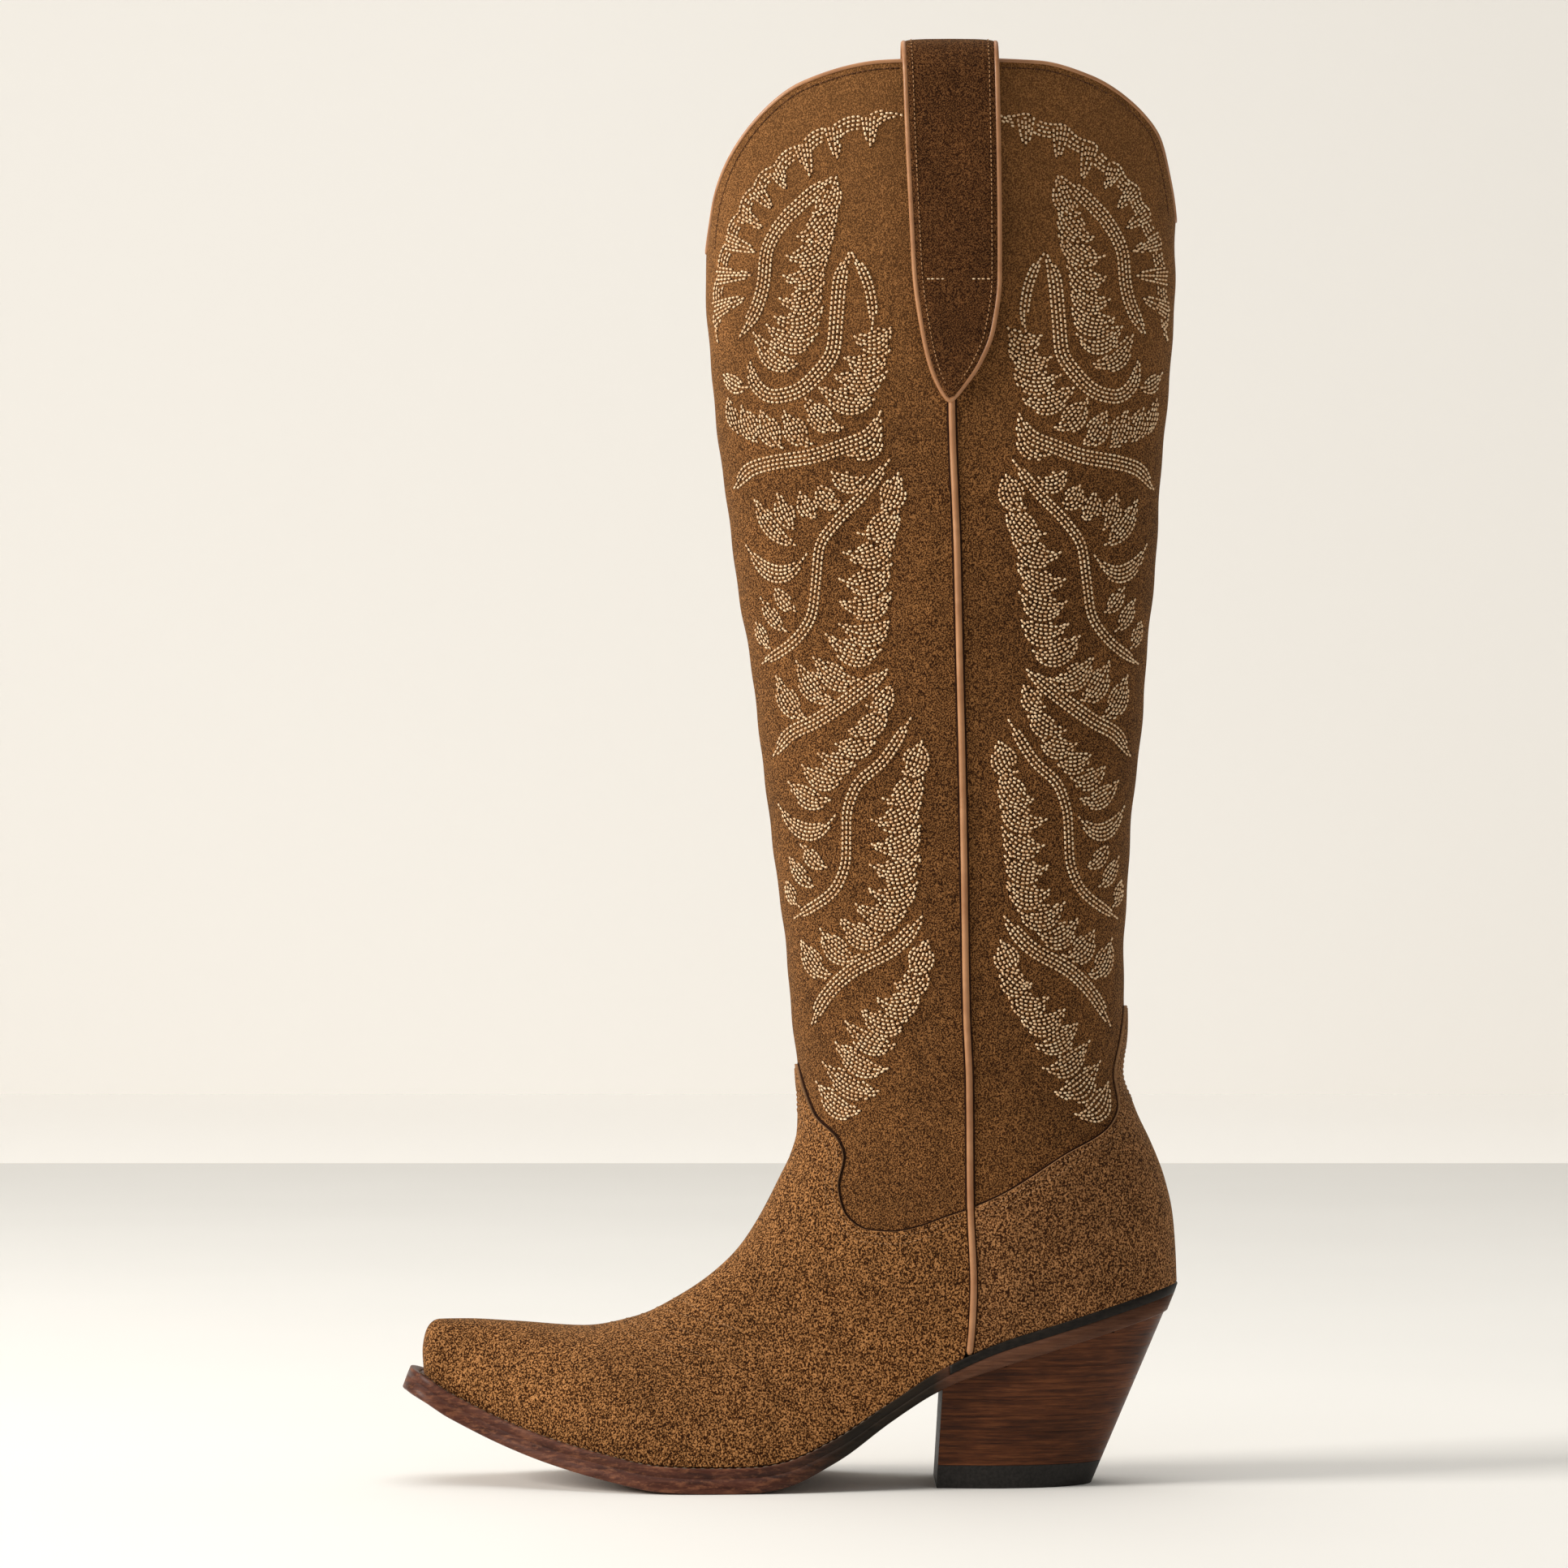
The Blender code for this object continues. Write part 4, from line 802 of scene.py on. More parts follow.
class Thread:
    """Rows of stitches, sewn into one mesh. A stitch that would lie on another is left out."""

    def __init__(self, name, finish, pitch, length, radius, rise, clearance=0.0, seed=1, hole=0.0):
        self.name, self.finish, self.hole = name, finish, hole
        self.pitch, self.length, self.radius, self.rise = pitch, length, radius, rise
        self.clearance = clearance
        self.taken = {}
        self.starts, self.ends, self.ups = [], [], []
        self.chance = np.random.default_rng(seed)

    def sew(self, path, ups):
        """Stitches along a path of points in mm, with the outward direction at each point."""
        path, ups = np.asarray(path, float), np.asarray(ups, float)
        run = lengths(path)
        first = self.length / 2 + self.chance.uniform(0, self.pitch)
        middles = np.arange(first, run[-1] - self.length / 2, self.pitch)
        middles += self.chance.normal(0, STITCH_SPREAD * self.pitch, len(middles))
        half = self.length / 2 * self.chance.uniform(*STITCH_LENGTHS, len(middles))
        found = [points_at(path, run, at) for at in (middles, middles - half, middles + half)]
        for centre, start, end, up in zip(*found, points_at(ups, run, middles)):
            if self.clearance and self.crowded(centre):
                continue
            self.starts.append(start)
            self.ends.append(end)
            self.ups.append(up)

    def crowded(self, centre):
        """Whether another stitch is nearer than the clearance. If not, this one is noted."""
        cell = tuple(np.floor(centre / self.clearance).astype(int))
        for step in np.ndindex(3, 3, 3):
            for spot in self.taken.get(tuple(c + s - 1 for c, s in zip(cell, step)), ()):
                if sum((a - b) ** 2 for a, b in zip(spot, centre)) < self.clearance**2:
                    return True
        self.taken.setdefault(cell, []).append(tuple(centre))
        return False

    def made(self):
        """The mesh: each stitch is a thread that rises out of the leather and goes back in."""
        starts, ends, ups = (np.array(a) for a in (self.starts, self.ends, self.ups))
        along = ends - starts
        across = np.cross(along, ups)
        across /= np.linalg.norm(across, axis=1, keepdims=True)
        points = []
        for share, height, size in STITCH:
            centre = starts + along * share + ups * (self.rise * height)
            ring = [across, ups, -across, -ups] if size else [across]
            points += [centre + way * (self.radius * size) for way in ring]
        points = np.stack(points, 1)
        count, size = points.shape[:2]
        points = points.reshape(-1, 3)
        faces = [repeated(STITCH_SIDES, count, size), repeated(STITCH_TIPS, count, size)]
        if self.hole:
            faces.append(repeated(HOLE_SIDES, count, 6, len(points)))
            points = np.concatenate([points, self.hole_shades(ends, along, across, ups)])
        made = mesh_object(self.name, points, faces, self.finish)
        if self.hole:
            second_finish(made, HOLE_SHADE, slice(-len(HOLE_SIDES) * count, None))

    def hole_shades(self, ends, along, across, ups):
        """Points of the painted shade in the needle hole after each stitch, as flat little dark diamonds.
        """
        way = along / np.linalg.norm(along, axis=1, keepdims=True)
        centre = ends + way * (self.pitch - self.length) * 0.5
        wide, long = across * self.hole, way * self.hole * HOLE_OVAL
        steps = [ups * HOLE_TOP, ups * HOLE_BOTTOM, wide, long, -wide, -long]
        return np.stack([centre + step for step in steps], 1).reshape(-1, 3)


def on_skin(spots, out=0.0):
    """Points on the surface and outward directions for rows of (station, angle)."""
    return skin(*spots.T, out), normals(*spots.T)


# The shaft's skin laid flat: u is the distance round from a ridge, v the height of the front ridge.
FLAT_T = np.linspace(0, SHAFT_END, 151)
FLAT_ANGLE = np.linspace(0, 180, 181)
FLAT_POINTS = surface(FLAT_T[:, None], FLAT_ANGLE[None, :])
FLAT_STEPS = np.diff(FLAT_POINTS, axis=1, prepend=FLAT_POINTS[:, :1])
FLAT_ARC = np.cumsum(np.linalg.norm(FLAT_STEPS, axis=2), axis=1)
FLAT_V = section(FLAT_T)[1]


def arc_at(t, angle):
    """Distance round the boot from the front ridge."""
    i = np.clip(t / FLAT_T[1], 0, len(FLAT_T) - 1.001)
    j = np.clip(angle, 0, len(FLAT_ANGLE) - 1.001)
    i0, j0 = i.astype(int), j.astype(int)
    fi, fj = i - i0, j - j0
    near = FLAT_ARC[i0, j0] * (1 - fj) + FLAT_ARC[i0, j0 + 1] * fj
    far = FLAT_ARC[i0 + 1, j0] * (1 - fj) + FLAT_ARC[i0 + 1, j0 + 1] * fj
    return near * (1 - fi) + far * fi


def flattened(points, back):
    """(u, v) for (x, z) points of the pattern, on the front quarter or turned over onto the back one."""
    spots = located(points)
    t, angle = spots.T
    u, v = arc_at(t, angle), np.interp(t, FLAT_T, FLAT_V)
    if back:
        front_width = arc_at(t, seam_angle(t))
        u *= (arc_at(t, np.full_like(t, 180.0)) - front_width) / front_width
    return np.stack([u, v], -1)


def raised(flat, back):
    """(station, angle) on the outer side for (u, v) points."""
    t = np.interp(-flat[:, 1], -FLAT_V, FLAT_T)
    goal = arc_at(t, np.full_like(t, 180.0)) - flat[:, 0] if back else flat[:, 0]
    angle = bisected(np.zeros(len(t)), np.full(len(t), 180.0), lambda a: arc_at(t, a) < goal, 30)
    return np.stack([t, angle], -1)


def parallel_rows(centre, rows, fullness):
    """Rows of thread along a centre line in the flat, spread by fullness (0 to 1) at each point."""
    sideways = turned(directions(centre))
    order = sorted(range(rows), key=lambda k: abs(k - (rows - 1) / 2))
    return [centre + ((k - (rows - 1) / 2) * THREAD_ROW * fullness)[:, None] * sideways for k in order]


def scallops(centre, knots):
    """How far a line swings out between its knots, as steps beside each of its points."""
    at = [int(np.argmin(np.linalg.norm(centre - knot, axis=1))) for knot in knots]
    phase = np.interp(np.arange(len(centre)), at, np.arange(len(at)))
    swing = SCALLOP * (np.abs(np.sin(math.pi * phase)) - 0.4)
    return -swing[:, None] * turned(directions(centre))


def tooth_rows(root, tip, back):
    """A pointed tooth that hangs from the arch, from a broad root that starts above it."""
    a, b = flattened([root, tip], back)
    centre = resampled([a + (a - b) * TOOTH_ROOT, b + (b - a) * TOOTH_TIP], 0.8)
    return parallel_rows(centre, 5, np.linspace(1.1, 0, len(centre)) ** 0.6)


def ribbon_rows(points, rows, back, scalloped=False):
    """A ribbon of rows that come together at its ends."""
    centre = resampled(line(flattened(resampled(line(points, 60), 3.0), back), 80), 1.0)
    if scalloped:
        centre = centre + scallops(centre, flattened(points, back)) * (-1 if back else 1)
    run = np.arange(len(centre))
    ends = np.minimum(run, run[::-1]) / 9.0
    return parallel_rows(centre, rows, np.clip(ends, 0, 1) ** 0.8)


def leaf_rows(left, right, sag, rows, back):
    """A pointed leaf whose middle sags."""
    a, b = flattened([left, right], back)
    a, b = a + (a - b) * LEAF_REACH, b + (b - a) * LEAF_REACH
    bend = (a + b) / 2 + (0.0, -sag * 2)
    s = np.linspace(0, 1, 40)[:, None]
    centre = resampled((1 - s) ** 2 * a + 2 * s * (1 - s) * bend + s**2 * b, 0.8)
    s = np.linspace(0, 1, len(centre))
    return parallel_rows(centre, rows, np.sin(math.pi * s) ** 1.35)


def pattern_rows(back):
    """All the rows of thread of one quarter of the shaft, in the flat, the most important first."""
    rows = []
    for count, points in RIBBONS:
        rows += ribbon_rows(points, count, back)
    for k, tip in enumerate(TEETH):
        rows += tooth_rows(ARCH[k + 1], tip, back)
    rows += ribbon_rows(ARCH, 4, back, scalloped=True)
    for count, sag, leaves in LEAVES:
        for lx, lz, rx, rz in leaves:
            rows += leaf_rows((lx, lz), (rx, rz), sag, count, back)
    return rows


def make_embroidery():
    """The cream pattern on all four quarters of the shaft."""
    size = {"pitch": 1.74, "length": 1.36, "radius": 0.40, "rise": 0.34, "clearance": 1.08, "hole": 0.36}
    for back in (False, True):
        rows = pattern_rows(back)
        for side, sign in SIDES:
            name = f"embroidery_{'back' if back else 'front'}_{side}"
            sewing = Thread(name, CREAM, seed=7 + back, **size)
            for row in rows:
                row = row[row[:, 0] > RIDGE_GAP]
                if len(row) < 3:
                    continue
                spots = raised(row, back)
                spots = spots[clear_of_foot(surface(*spots.T))]
                if len(spots) >= 3:
                    sewing.sew(*on_skin(spots * (1, sign), 0.05))
            sewing.made()


def clear_of_foot(points):
    """Which points lie above the edges of the vamp and the counter."""
    x, z = points[:, 0], points[:, 2]
    vamp, counter = (np.interp(x, *zip(*edge)) for edge in (VAMP_CLEARANCE, COUNTER_CLEARANCE))
    return z > np.where(x < 60, vamp, counter)


def both_sides(sewing, spots, out):
    for sign in (1, -1):
        sewing.sew(*on_skin(spots * (1, sign), out))


def short_of_seam(spots, piece, gap):
    """Which spots on the vamp or the counter lie further than a gap from the middle of the side seam."""
    ahead = 1 if piece == "vamp" else -1
    return ahead * spots[:, 1] < ahead * seam_angle(spots[:, 0], -gap * ahead)


def make_edge_stitches():
    """Rows of thread along the top edge, the vamp and the counter."""
    sewing = Thread("collar_stitches", BROWN, 1.9, 1.35, 0.26, 0.10, seed=3, hole=0.3)
    for part in (split_line(RIM, 39.0, True), split_line(RIM, 73.0, False)):
        both_sides(sewing, located(line(part, 300, COLLAR_ROW)), 0.0)
    sewing.made()
    for name, edge, seed in (("vamp", VAMP_TOP, 4), ("counter", COUNTER_TOP, 5)):
        sewing = Thread(name + "_stitches", FAWN, 1.75, 1.15, 0.21, 0.10, seed=seed, hole=0.26)
        for shift in EDGE_ROWS:
            spots = located(line(edge, 300, shift))
            both_sides(sewing, spots[short_of_seam(spots, name, 2.2)], FOOT_LEATHER[0])
        sewing.made()


def make_toe_stitches():
    """Faint chevrons of thread across the ridge of the vamp, behind the toe."""
    sewing = Thread("toe_stitches", FAWN, 1.7, 1.2, 0.2, 0.06, seed=6, hole=0.24)
    stations = np.arange(20, TOE_TIP, 0.1)
    ridge_x = section(stations)[0]
    angle = np.linspace(0.5, CHEVRON_ANGLE, 40)
    for tip_x in TOE_CHEVRONS:
        x = tip_x + CHEVRON_RUN * (angle / CHEVRON_ANGLE) ** 1.3
        t = np.interp(-x, -ridge_x, stations)
        both_sides(sewing, np.stack([t, angle], -1), FOOT_LEATHER[0])
    sewing.made()


# ---------------------------------------------------------------- upper


def make_panels():
    """The suede pieces and the shaft's lining."""
    for name, edge, back in (("front", VAMP_TOP, False), ("back", COUNTER_TOP, True)):
        top = line(split_line(RIM, RIM_SEAM_X, not back), 120, -PANEL_TOP)
        grid = panel_patch(top, line(edge, 120, -TUCKED), 130, back)
        panel = bevel(shell(f"shaft_{name}", grid, SHAFT_LEATHER, SHAFT_SUEDE), 0.4)
        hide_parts(f"{name}_shaft")
        lining = shell(f"lining_{name}", grid[::2], SHAFT_LINING, LINING)
        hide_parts(f"shaft_lining_{name}")
    vamp = vamp_patch(line(VAMP_TOP, 120), 60, TUCKED_AT_SOLE, 7)
    vamp = bevel(shell("vamp_suede", vamp, FOOT_LEATHER, VAMP_SUEDE, CUT_EDGE_HIGHLIGHT), 0.3)
    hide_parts("vamp")
    heel_line = split_line(FEATHER, SEAM_FOOT_X + SEAM_HALF_WIDTH, False)
    heel_line = [(x, z + TUCKED_AT_SOLE) for x, z in heel_line]
    counter = panel_patch(line(COUNTER_TOP, 120), heel_line, 40, True)
    counter = bevel(shell("counter_suede", counter, FOOT_LEATHER, COUNTER_SUEDE, CUT_EDGE_HIGHLIGHT), 0.3)
    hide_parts("heel_counter")


def make_edge_shadows():
    """Dark cords of painted shadow where the vamp and the counter lie on the shaft, thin on their lower
    runs.
    """
    turn = np.linspace(0, 2 * math.pi, 8, endpoint=False)
    for name, edge in (("vamp", VAMP_TOP), ("counter", COUNTER_TOP)):
        thick, thin = EDGE_SHADOW_SIZES[name]
        spots = located(line(edge, 260, 0.35))
        sizes = np.interp(spots[:, 1], [0, 20, 40, 60, 180], [thick, thick, thick * 0.8, thin, thin])
        keep = short_of_seam(spots, name, 1.6)
        for side, sign in SIDES:
            path, ups = on_skin(spots[keep] * (1, sign), 0.05)
            beside = np.cross(directions(path), ups)
            loops = [[c + r * (math.cos(a) * b + math.sin(a) * u * 0.6) for a in turn]
                     for c, u, b, r in zip(path, ups, beside, sizes[keep])]
            swept(f"{name}_edge_shadow_{side}", loops, SHADE_LINE)


def make_binding():
    """Folded leather over the top edge, in a front and a back piece."""
    depth = BINDING_DEPTH
    profile = [(0.25, depth), (0.42, depth * 0.8), (0.45, depth * 0.5), (0.3, 0.1), (-0.1, -0.15)]
    profile += [(-1.7, -0.25), (-3.4, -0.15), (-3.75, 0.1), (-3.9, depth * 0.5), (-3.85, depth * 0.8)]
    profile += [(-3.7, depth)]
    for name, back, gap in (("front", False, -0.1), ("back", True, 0.1)):
        spots = located(line(split_line(RIM, RIM_SEAM_X + gap, not back), 150))
        spots[-1 if back else 0, 1] = 180 if back else 0
        spots = mirrored(spots, back)
        centre, up = on_skin(spots)
        down = np.cross(up, directions(centre))
        down *= np.sign(-down[:, 2:3])
        loops = [[c + n * u + d * w for n, d in profile] for c, u, w in zip(centre, up, down)]
        made = swept(f"binding_{name}", loops, TAN)
        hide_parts(f"collar_binding_{name}")


def make_side_piping():
    """A thin cord of tan leather in each side seam, with a dark cord of painted shadow either side of it.
    """
    top = station(RIM_SEAM_X, by_x(RIM, RIM_SEAM_X))
    t = np.linspace(top + 0.02, station(63, feather(63) - 0.7), 260)
    angle = seam_angle(t)
    step = FOOT_STEP * np.clip((t - SHAFT_END) / 1.5, 0, 1)
    for side, sign in SIDES:
        path = resampled(skin(t, sign * angle, PIPING_OUT + step), 1.2)
        made = tube(f"piping_{side}", path, SEAM_PIPING_RADIUS, TAN)
        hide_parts(f"side_piping_{side}")
        # Dark cords of painted shadow in the grooves either side of the piping.
        for place, shift in (("front", -SEAM_SHADOW[0]), ("back", SEAM_SHADOW[0])):
            shadow_path = resampled(skin(t, sign * seam_angle(t, shift), SEAM_SHADOW_OUT + step), 1.5)
            tube(f"seam_shadow_{place}_{side}", shadow_path, SEAM_SHADOW[1], SHADE_LINE, 6)


def strap_rows(side, count=160):
    """Along a pull strap: its middle line as (y, z), its outward direction, and its front and back x."""
    z, out = STRAP[:, 0], STRAP[:, 1]
    y = side * (smooth(-SECTIONS[:12, 1], SECTIONS[:12, 4], -z) + out)
    run = np.r_[0, np.cumsum(np.hypot(np.diff(y), np.diff(z)))]
    at = np.linspace(0, run[-1], count)
    middle = np.stack([smooth(run, y, at), smooth(run, z, at)], -1)
    outward = -side * turned(directions(middle))
    return middle, outward, smooth(run, STRAP[:, 2], at), smooth(run, STRAP[:, 3], at)


def make_strap(name, side):
    """A pull strap with piped edges and its stitches. Its section is a rounded, slightly domed bar."""
    middle, outward, front, back = strap_rows(side)
    edge = PIPING_RADIUS * 1.2
    loops = []
    turn = np.linspace(0, 2 * math.pi, 28, endpoint=False)
    across = np.sign(np.cos(turn)) * np.abs(np.cos(turn)) ** 0.45
    high = np.sign(np.sin(turn)) * np.abs(np.sin(turn)) ** 0.55 * STRAP_HALF_THICKNESS
    lift = high + np.where(high > 0, STRAP_DOME * (1 - across**2), 0)
    for (y, z), (dy, dz), a, b in zip(middle, outward, front + edge, back - edge):
        if b - a >= 1.0:
            x = (a + b) / 2 + across * (b - a) / 2
            loops.append(np.stack([x, y + lift * dy, z + lift * dz], -1))
    made = swept(name + "_suede", loops, STRAP_SUEDE)
    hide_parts(name)
    inset = PIPING_RADIUS
    ends = [np.column_stack([x, middle]) for x in (front + inset, back - inset)]
    ends = [e[back - front > 2.2 * inset] for e in ends]
    tip = [(float(front[0] + back[0]) / 2, middle[0, 0], middle[0, 1] + inset)]
    path = resampled(np.concatenate([ends[0][::-1], tip, ends[1]]), 1.0)
    for _ in range(2):
        path[1:-1] = (path[:-2] + path[1:-1] * 2 + path[2:]) / 4
    made = tube(name + "_edge", path, PIPING_RADIUS, TAN)
    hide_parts(name + "_piping")
    sew_strap(name, side, middle, outward, front, back)


def sew_strap(name, side, middle, outward, front, back):
    """Stitch rows inside a strap's edges, and the bar tacks that hold it to the shaft."""
    sewing = Thread(name + "_stitches", FAWN, 1.6, 1.1, 0.2, 0.10, seed=9, hole=0.26)
    tacks = Thread(name + "_bar_tacks", CREAM, 1.6, 1.15, 0.22, 0.12, seed=9)
    inside = 2 * PIPING_RADIUS + 1.6
    lift = STRAP_HALF_THICKNESS
    ups = np.column_stack([np.zeros(len(middle)), outward])
    wide = back - front > 2 * inside + 2
    for x in (front + inside, back - inside):
        path = np.column_stack([x, middle]) + ups * lift
        sewing.sew(path[wide], ups[wide])
    height = STRAP[BAR_TACK_ROW, 0]
    k = int(np.argmin(np.abs(middle[:, 1] - height) + 100 * (side * outward[:, 0] < 0)))
    for start, way in ((front[k] + inside, 1), (back[k] - inside, -1)):
        x = start + way * np.linspace(0, BAR_TACK_LENGTH, 20)
        path = np.column_stack([x, np.tile(middle[k], (20, 1))]) + ups[k] * (lift + 0.1)
        tacks.sew(path, np.tile(ups[k], (20, 1)))
    sewing.made()
    tacks.made()


# ---------------------------------------------------------------- sole and heel


def feather_outline():
    """Plan of the upper at the feather line, as a closed loop from the heel's back by the outer side."""
    back = station(134.5, 70.3) + 0.02
    t = np.concatenate([np.linspace(back, 19, 40), np.linspace(19, TOE_TIP, 110)[1:]])
    x = np.array([feather_point(s) for s in t])
    spots = located(np.stack([x, feather(x)], -1))
    outer, inner = (surface(spots[:, 0], sign * spots[:, 1])[:, :2] for _, sign in SIDES)
    heel, tip = (outer[0] + inner[0]) / 2, outer[-1]
    return np.concatenate([[heel + (0.4, 0)], outer[:-1], [tip], inner[-2::-1]])


HALF_OUTLINE = 320  # points from heel to toe along each side


def paired_outline():
    """The outline with its heel at index 0 and its toe at HALF_OUTLINE, so that points pair up across."""
    loop = feather_outline()
    loop = evenly(np.concatenate([loop, loop[:1]]), 600)[:-1]
    for _ in range(12):
        loop = (np.roll(loop, 1, axis=0) + loop * 2 + np.roll(loop, -1, axis=0)) / 4
    loop = np.roll(loop, -loop[:, 0].argmax(), axis=0)
    toe = loop[:, 0].argmin()
    outer = evenly(loop[: toe + 1], HALF_OUTLINE)
    inner = evenly(np.concatenate([loop[toe:], loop[:1]]), HALF_OUTLINE)
    return np.concatenate([outer[:-1], inner[:-1]])


def outward_from(loop):
    way = np.roll(loop, -1, axis=0) - np.roll(loop, 1, axis=0)
    return turned(way / np.linalg.norm(way, axis=1, keepdims=True))


OUTLINE = paired_outline()
OUTLINE_X = OUTLINE[:, 0]
OUTLINE_WAY = outward_from(OUTLINE)


def ring(out, level):
    """A loop around the sole: the outline moved out by a distance, with its height given by level(x)."""
    plan = OUTLINE + np.broadcast_to(out, OUTLINE_X.shape)[:, None] * OUTLINE_WAY
    return np.concatenate([plan, level(plan[:, 0])[:, None]], axis=1)


def above_feather(height):
    return lambda x: feather(x) + height


def sole_bottom(x):
    return feather(x) + SOLE_TOP - by_x(SOLE_THICKNESS, x)


def edge_out(depth):
    """How far out the sole's edge is, so many mm under the feather line.

    It leans out towards the bottom at the toe, and follows the heel block's taper behind the breast."""
    lean = by_x(EDGE_LEAN, OUTLINE_X) * (1 - depth / SOLE_DEPTH)
    heelward = np.clip((OUTLINE_X - HEEL_BREAST[0]) / 8, 0, 1)
    facing_back = np.clip(OUTLINE_WAY[:, 0], 0, 1) ** 2
    taper = HEEL_HALF_WIDTH[1] + (HEEL_BACK[1] - HEEL_HALF_WIDTH[1]) * facing_back
    reach = by_x(WELT_WIDTH, OUTLINE_X) - lean * (1 - heelward)
    return reach - heelward * taper * np.maximum(depth - 2, 0)


def ladder(base, flip):
    """Quads across a ring whose first point has index base."""
    k = np.arange(HALF_OUTLINE)
    left, right = base + k, base + (-k) % (2 * HALF_OUTLINE)
    left_next, right_next = base + k + 1, base + (-k - 1) % (2 * HALF_OUTLINE)
    quads = np.stack([left, left_next, right_next, right], -1)
    middle, ends = quads[1:-1], np.array([quads[0, [0, 1, 2]], quads[-1, [0, 1, 3]]])
    return (middle[:, ::-1], ends[:, ::-1]) if flip else (middle, ends)


def ringed(name, rings, finish):
    """A closed solid through rings from top to bottom, with a ladder of faces over each end."""
    size = 2 * HALF_OUTLINE
    sides = band(np.arange(len(rings) * size).reshape(len(rings), size))
    top_quads, top_ends = ladder(0, True)
    low_quads, low_ends = ladder((len(rings) - 1) * size, False)
    faces = [sides, top_quads, low_quads, top_ends, low_ends]
    return mesh_object(name, np.concatenate(rings), faces, finish)


def make_outsole():
    """The leather outsole, its edge leaning out at the toe and rounded away underneath at the waist."""
    rounding = by_x(EDGE_ROUND, OUTLINE_X)
    thickness = by_x(SOLE_THICKNESS, OUTLINE_X)
    top, bottom = edge_out(-SOLE_TOP), edge_out(thickness - SOLE_TOP)
    rings = [ring(top - 1.6, above_feather(SOLE_TOP)), ring(top, above_feather(SOLE_TOP))]
    tall = np.minimum(rounding * 0.8, thickness * 0.62)
    for turn in np.linspace(0, math.pi / 2, 7):
        loop = ring(bottom - rounding * (1 - math.cos(turn)), sole_bottom)
        loop[:, 2] += tall * (1 - math.sin(turn))
        rings.append(loop)
    rings.append(ring(bottom - rounding - 1.5, sole_bottom))
    made = ringed("outsole_leather", rings, SOLE_EDGE)
    first = (len(rings) - 2) * 2 * HALF_OUTLINE
    flags = [face.normal.z < -0.75 and face.index >= first for face in made.data.polygons]
    second_finish(made, SOLE_UNDERSIDE, flags)
    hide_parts("outsole")


def run_of_outline(keep_toe, x):
    """Indices of the outline in front of x round the toe, or behind x round the heel."""
    count = 2 * HALF_OUTLINE
    order = np.arange(count) if keep_toe else (np.arange(count) + HALF_OUTLINE) % count
    inside = np.flatnonzero((OUTLINE_X[order] < x) == keep_toe)
    first, last = (inside[0], inside[-1]) if keep_toe else (inside[0] - 1, inside[-1] + 1)
    return order[first : last + 1]


def edge_strip(name, profile, run, finish):
    """A strip along the sole's edge. Its profile holds (distance out, height over the feather line)."""
    rings = np.stack([ring(out, above_feather(height)) for out, height in profile], 1)
    return swept(name, rings[run], finish)


def make_welt():
    """The welt round the forefoot, with its stitch channel, and the black rand round the heel."""
    top, low = edge_out(-WELT_TOP), edge_out(-WELT_BOTTOM)
    channel = top * CHANNEL_PLACE
    # Distance out, and height over the welt's top.
    profile = [(-4.0, 0), (channel - 0.7, -0.1), (channel - 0.45, -0.5), (channel + 0.45, -0.5)]
    profile += [(channel + 0.7, -0.05), (top - 0.7, 0), (top - 0.2, -0.12), (top, -0.55)]
    profile = [(out, WELT_TOP + height) for out, height in profile]
    profile += [(low, WELT_BOTTOM), (-4.0, WELT_BOTTOM)]
    made = edge_strip("welt_leather", profile, run_of_outline(True, RAND_START_X), SOLE_EDGE)
    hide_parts("welt")
    profile = [(-4.0, WELT_TOP), (top - 0.6, WELT_TOP), (top - 0.1, WELT_TOP - 0.2)]
    profile += [(top + 0.15, WELT_TOP - 0.8), (low + 0.15, WELT_BOTTOM + 0.4)]
    profile += [(low, WELT_BOTTOM), (-4.0, WELT_BOTTOM)]
    made = edge_strip("rand_leather", profile, run_of_outline(False, RAND_START_X), BLACK_EDGE)
    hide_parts("heel_rand")
    sewing = Thread("welt_stitches", GREY, 3.1, 2.4, 0.34, 0.25, seed=11)
    path = ring(channel, above_feather(WELT_TOP - 0.45))[run_of_outline(True, WELT_STITCH_END_X)]
    sewing.sew(path, np.tile((0.0, 0.0, 1.0), (len(path), 1)))
    sewing.made()


def heel_plan(share, z):
    """x and half width of the heel block at height z, share of the way from its breast to its back."""
    front = HEEL_BREAST[0] + HEEL_BREAST[1] * z
    back = HEEL_BACK[0] + HEEL_BACK[1] * z
    half = HEEL_HALF_WIDTH[0] + HEEL_HALF_WIDTH[1] * z
    bend = max(0.0, (share - HEEL_MIDDLE_SHARE) / (1 - HEEL_MIDDLE_SHARE))
    taper = 0.95 + 0.05 * min(1.0, share / HEEL_MIDDLE_SHARE)
    return front + share * (back - front), half * taper * math.sqrt(max(0.0, 1 - bend**2.2))


def heel_slice(name, low, high, finish, breast):
    """One level layer of the heel, cut off where it meets the outsole, with a darkened front face."""

    def roof(x):
        return float(sole_bottom(x)) - 0.05

    shares = np.sin(np.linspace(0, math.pi / 2, 56))
    start = next(s for s in np.linspace(0, 0.95, 191) if roof(heel_plan(s, low)[0]) > low + 0.3)
    loops = []
    for s in start + (1 - start) * shares:
        x_low, w_low = heel_plan(s, low)
        top = high
        for _ in range(8):
            top = min(high, roof(heel_plan(s, top)[0]))
        x_top, w_top = heel_plan(s, top)
        w_low, w_top = max(w_low, 0.05), max(w_top, 0.05)
        loop = [(x_low, -w_low, low), (x_low, w_low, low), (x_top, w_top, top), (x_top, -w_top, top)]
        loops.append(loop)
    made = swept(name, loops, finish)
    second_finish(made, breast, [face.normal.x < -0.9 for face in made.data.polygons])
    made.data.set_sharp_from_angle(angle=math.radians(40))
    return made


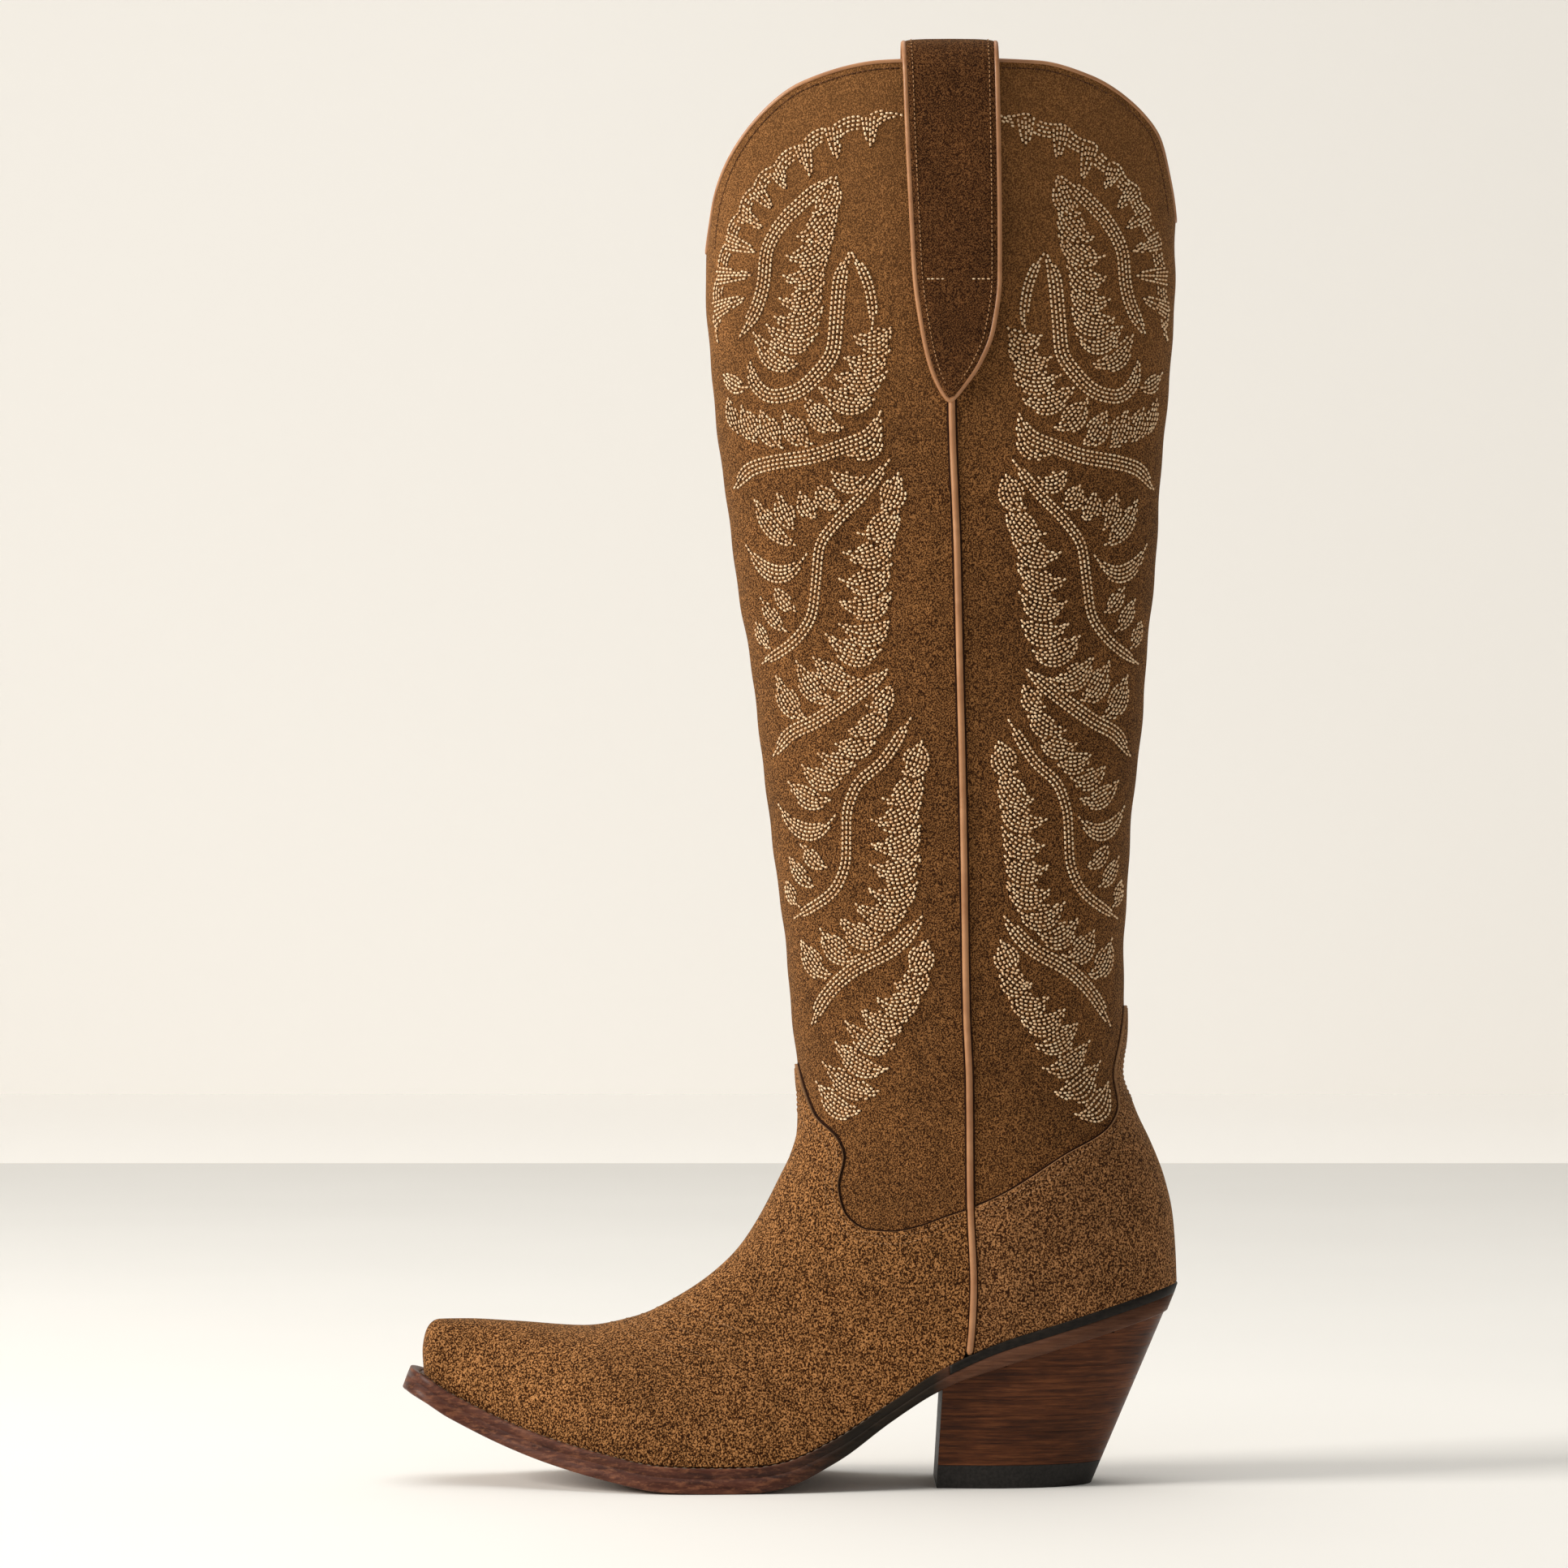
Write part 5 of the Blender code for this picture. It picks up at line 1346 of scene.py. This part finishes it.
def make_heel():
    """The rubber cap and the stacked leather lifts."""
    cap = heel_slice("cap_top_piece", 0, CAP_HEIGHT, RUBBER, RUBBER)
    bevel(cap, 0.5, 2, 40)
    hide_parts("heel_cap")
    for k in range(LIFT_COUNT):
        low = CAP_HEIGHT + 0.1 + k * LIFT_PITCH
        lift = heel_slice(f"stack_layer_{k + 1}", low, low + LIFT_PITCH - LIFT_SEAM, STACK, BLACK_EDGE)
        bevel(lift, 0.06, 1, 40)
        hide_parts(f"heel_lift_{k + 1}")


SOLE_UNDERSIDE = smooth_leather("sole_underside", (0.13, 0.060, 0.030), (0.24, 0.125, 0.065), 0.5, 500, 0.1)

CAD_FINISHES = {
    "vamp_lining": LINING,
    "counter_lining": LINING,
    "footbed": LINING,
    "toe_puff": BOARD,
    "counter_stiffener": BOARD,
    "insole_board": BOARD,
    "bottom_filler": CORK,
    "shank": STEEL,
    "heel_screw": STEEL,
    "cap_nail": BRASS,
    "waist_peg": PEG_WOOD,
}


def finish_cad_nodes():
    """Procedural finishes on the CAD pieces that are kept as they are."""
    for name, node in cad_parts.items():
        for start, finish in CAD_FINISHES.items():
            if name.startswith(start):
                for slot in node.material_slots:
                    slot.material = finish


# ---------------------------------------------------------------- room, light and camera


def stage_plane(name, corners, finish):
    mesh = bpy.data.meshes.new(name)
    mesh.from_pydata(corners, [], [(0, 1, 2, 3)])
    mesh.materials.append(finish)
    made = bpy.data.objects.new(name, mesh)
    bpy.context.collection.objects.link(made)


def make_room():
    """A pale floor, its far part in the wall's tone, and a pale wall."""
    floor = Paint("studio_floor", 0.9)
    floor.colour(floor.ramp(floor.noise(3, 2), (0.3, (0.85, 0.84, 0.81)), (0.7, (0.87, 0.86, 0.83))))
    wall, far_floor = (
        Paint(name, 0.95, Emission_Color=(1.0, 0.945, 0.87, 1), Emission_Strength=glow)
        for name, glow in (("studio_wall", 0.12), ("studio_far_floor", 0.22))
    )
    for paint in (wall, far_floor):
        tone = paint.ramp(paint.noise(0.6, 2), (0.3, (0.84, 0.82, 0.785)), (0.7, (0.87, 0.855, 0.825)))
        paint.colour(tone)
    planes = (("floor", (-ROOM_SIDE, 0), (FLOOR_EDGE_Y, 0), floor),
              ("far_floor", (FLOOR_EDGE_Y, 0), (WALL_Y, 0), far_floor),
              ("wall", (WALL_Y, 0), (WALL_Y, WALL_HEIGHT), wall))
    for name, start, end, paint in planes:
        corners = [(-ROOM_SIDE, *start), (ROOM_SIDE, *start), (ROOM_SIDE, *end), (-ROOM_SIDE, *end)]
        stage_plane(name, corners, paint.finish)


def area_light(name, place, target, size, power, colour):
    lamp = bpy.data.lights.new(name, "AREA")
    lamp.shape = "RECTANGLE"
    lamp.size, lamp.size_y = size
    lamp.energy = power
    lamp.color = colour
    made = bpy.data.objects.new(name, lamp)
    made.location = place
    way = np.asarray(target, float) - np.asarray(place, float)
    x, y, z = way / np.linalg.norm(way)
    made.rotation_euler = (math.acos(-z), 0.0, math.atan2(y, x) - math.pi / 2)  # turns -Z to the target
    bpy.context.collection.objects.link(made)


def make_lights():
    """Soft studio light: a big one from the upper left, one in front, and the pale room."""
    area_light("key", (-2.3, -0.85, 1.25), (0.0, 0, 0.24), (0.9, 1.0), 74, (1.0, 0.96, 0.90))
    area_light("fill", (1.2, -2.2, 0.8), (0.05, 0, 0.22), (1.6, 1.6), 2.5, (1.0, 0.98, 0.95))
    area_light("top", (-0.2, 0.2, 2.4), (0, 0, 0), (2.4, 2.4), 34, (1.0, 0.985, 0.96))
    world = bpy.data.worlds.new("studio")
    world.use_nodes = True
    background = world.node_tree.nodes["Background"]
    background.inputs["Color"].default_value = (1.0, 0.97, 0.92, 1)
    background.inputs["Strength"].default_value = 0.26
    bpy.context.scene.world = world


def make_camera():
    camera = bpy.data.cameras.new("camera")
    camera.sensor_width = SENSOR_WIDTH
    camera.lens = SENSOR_WIDTH * CAMERA_DISTANCE / FRAME_WIDTH
    camera.clip_end = 50
    made = bpy.data.objects.new("camera", camera)
    made.location = (CAMERA_X, NEAR_SIDE_Y - CAMERA_DISTANCE, CAMERA_HEIGHT)
    made.rotation_euler = (math.pi / 2, 0, 0)
    bpy.context.collection.objects.link(made)
    bpy.context.scene.camera = made
    bpy.context.scene.view_settings.view_transform = "Standard"
    bpy.context.scene.view_settings.look = "None"


def main():
    make_camera()
    make_lights()
    make_room()
    make_panels()
    make_binding()
    make_side_piping()
    make_strap("pull_strap_outer", -1)
    make_strap("pull_strap_inner", 1)
    make_outsole()
    make_welt()
    make_heel()
    finish_cad_nodes()
    make_edge_stitches()
    make_toe_stitches()
    make_edge_shadows()
    make_embroidery()


main()
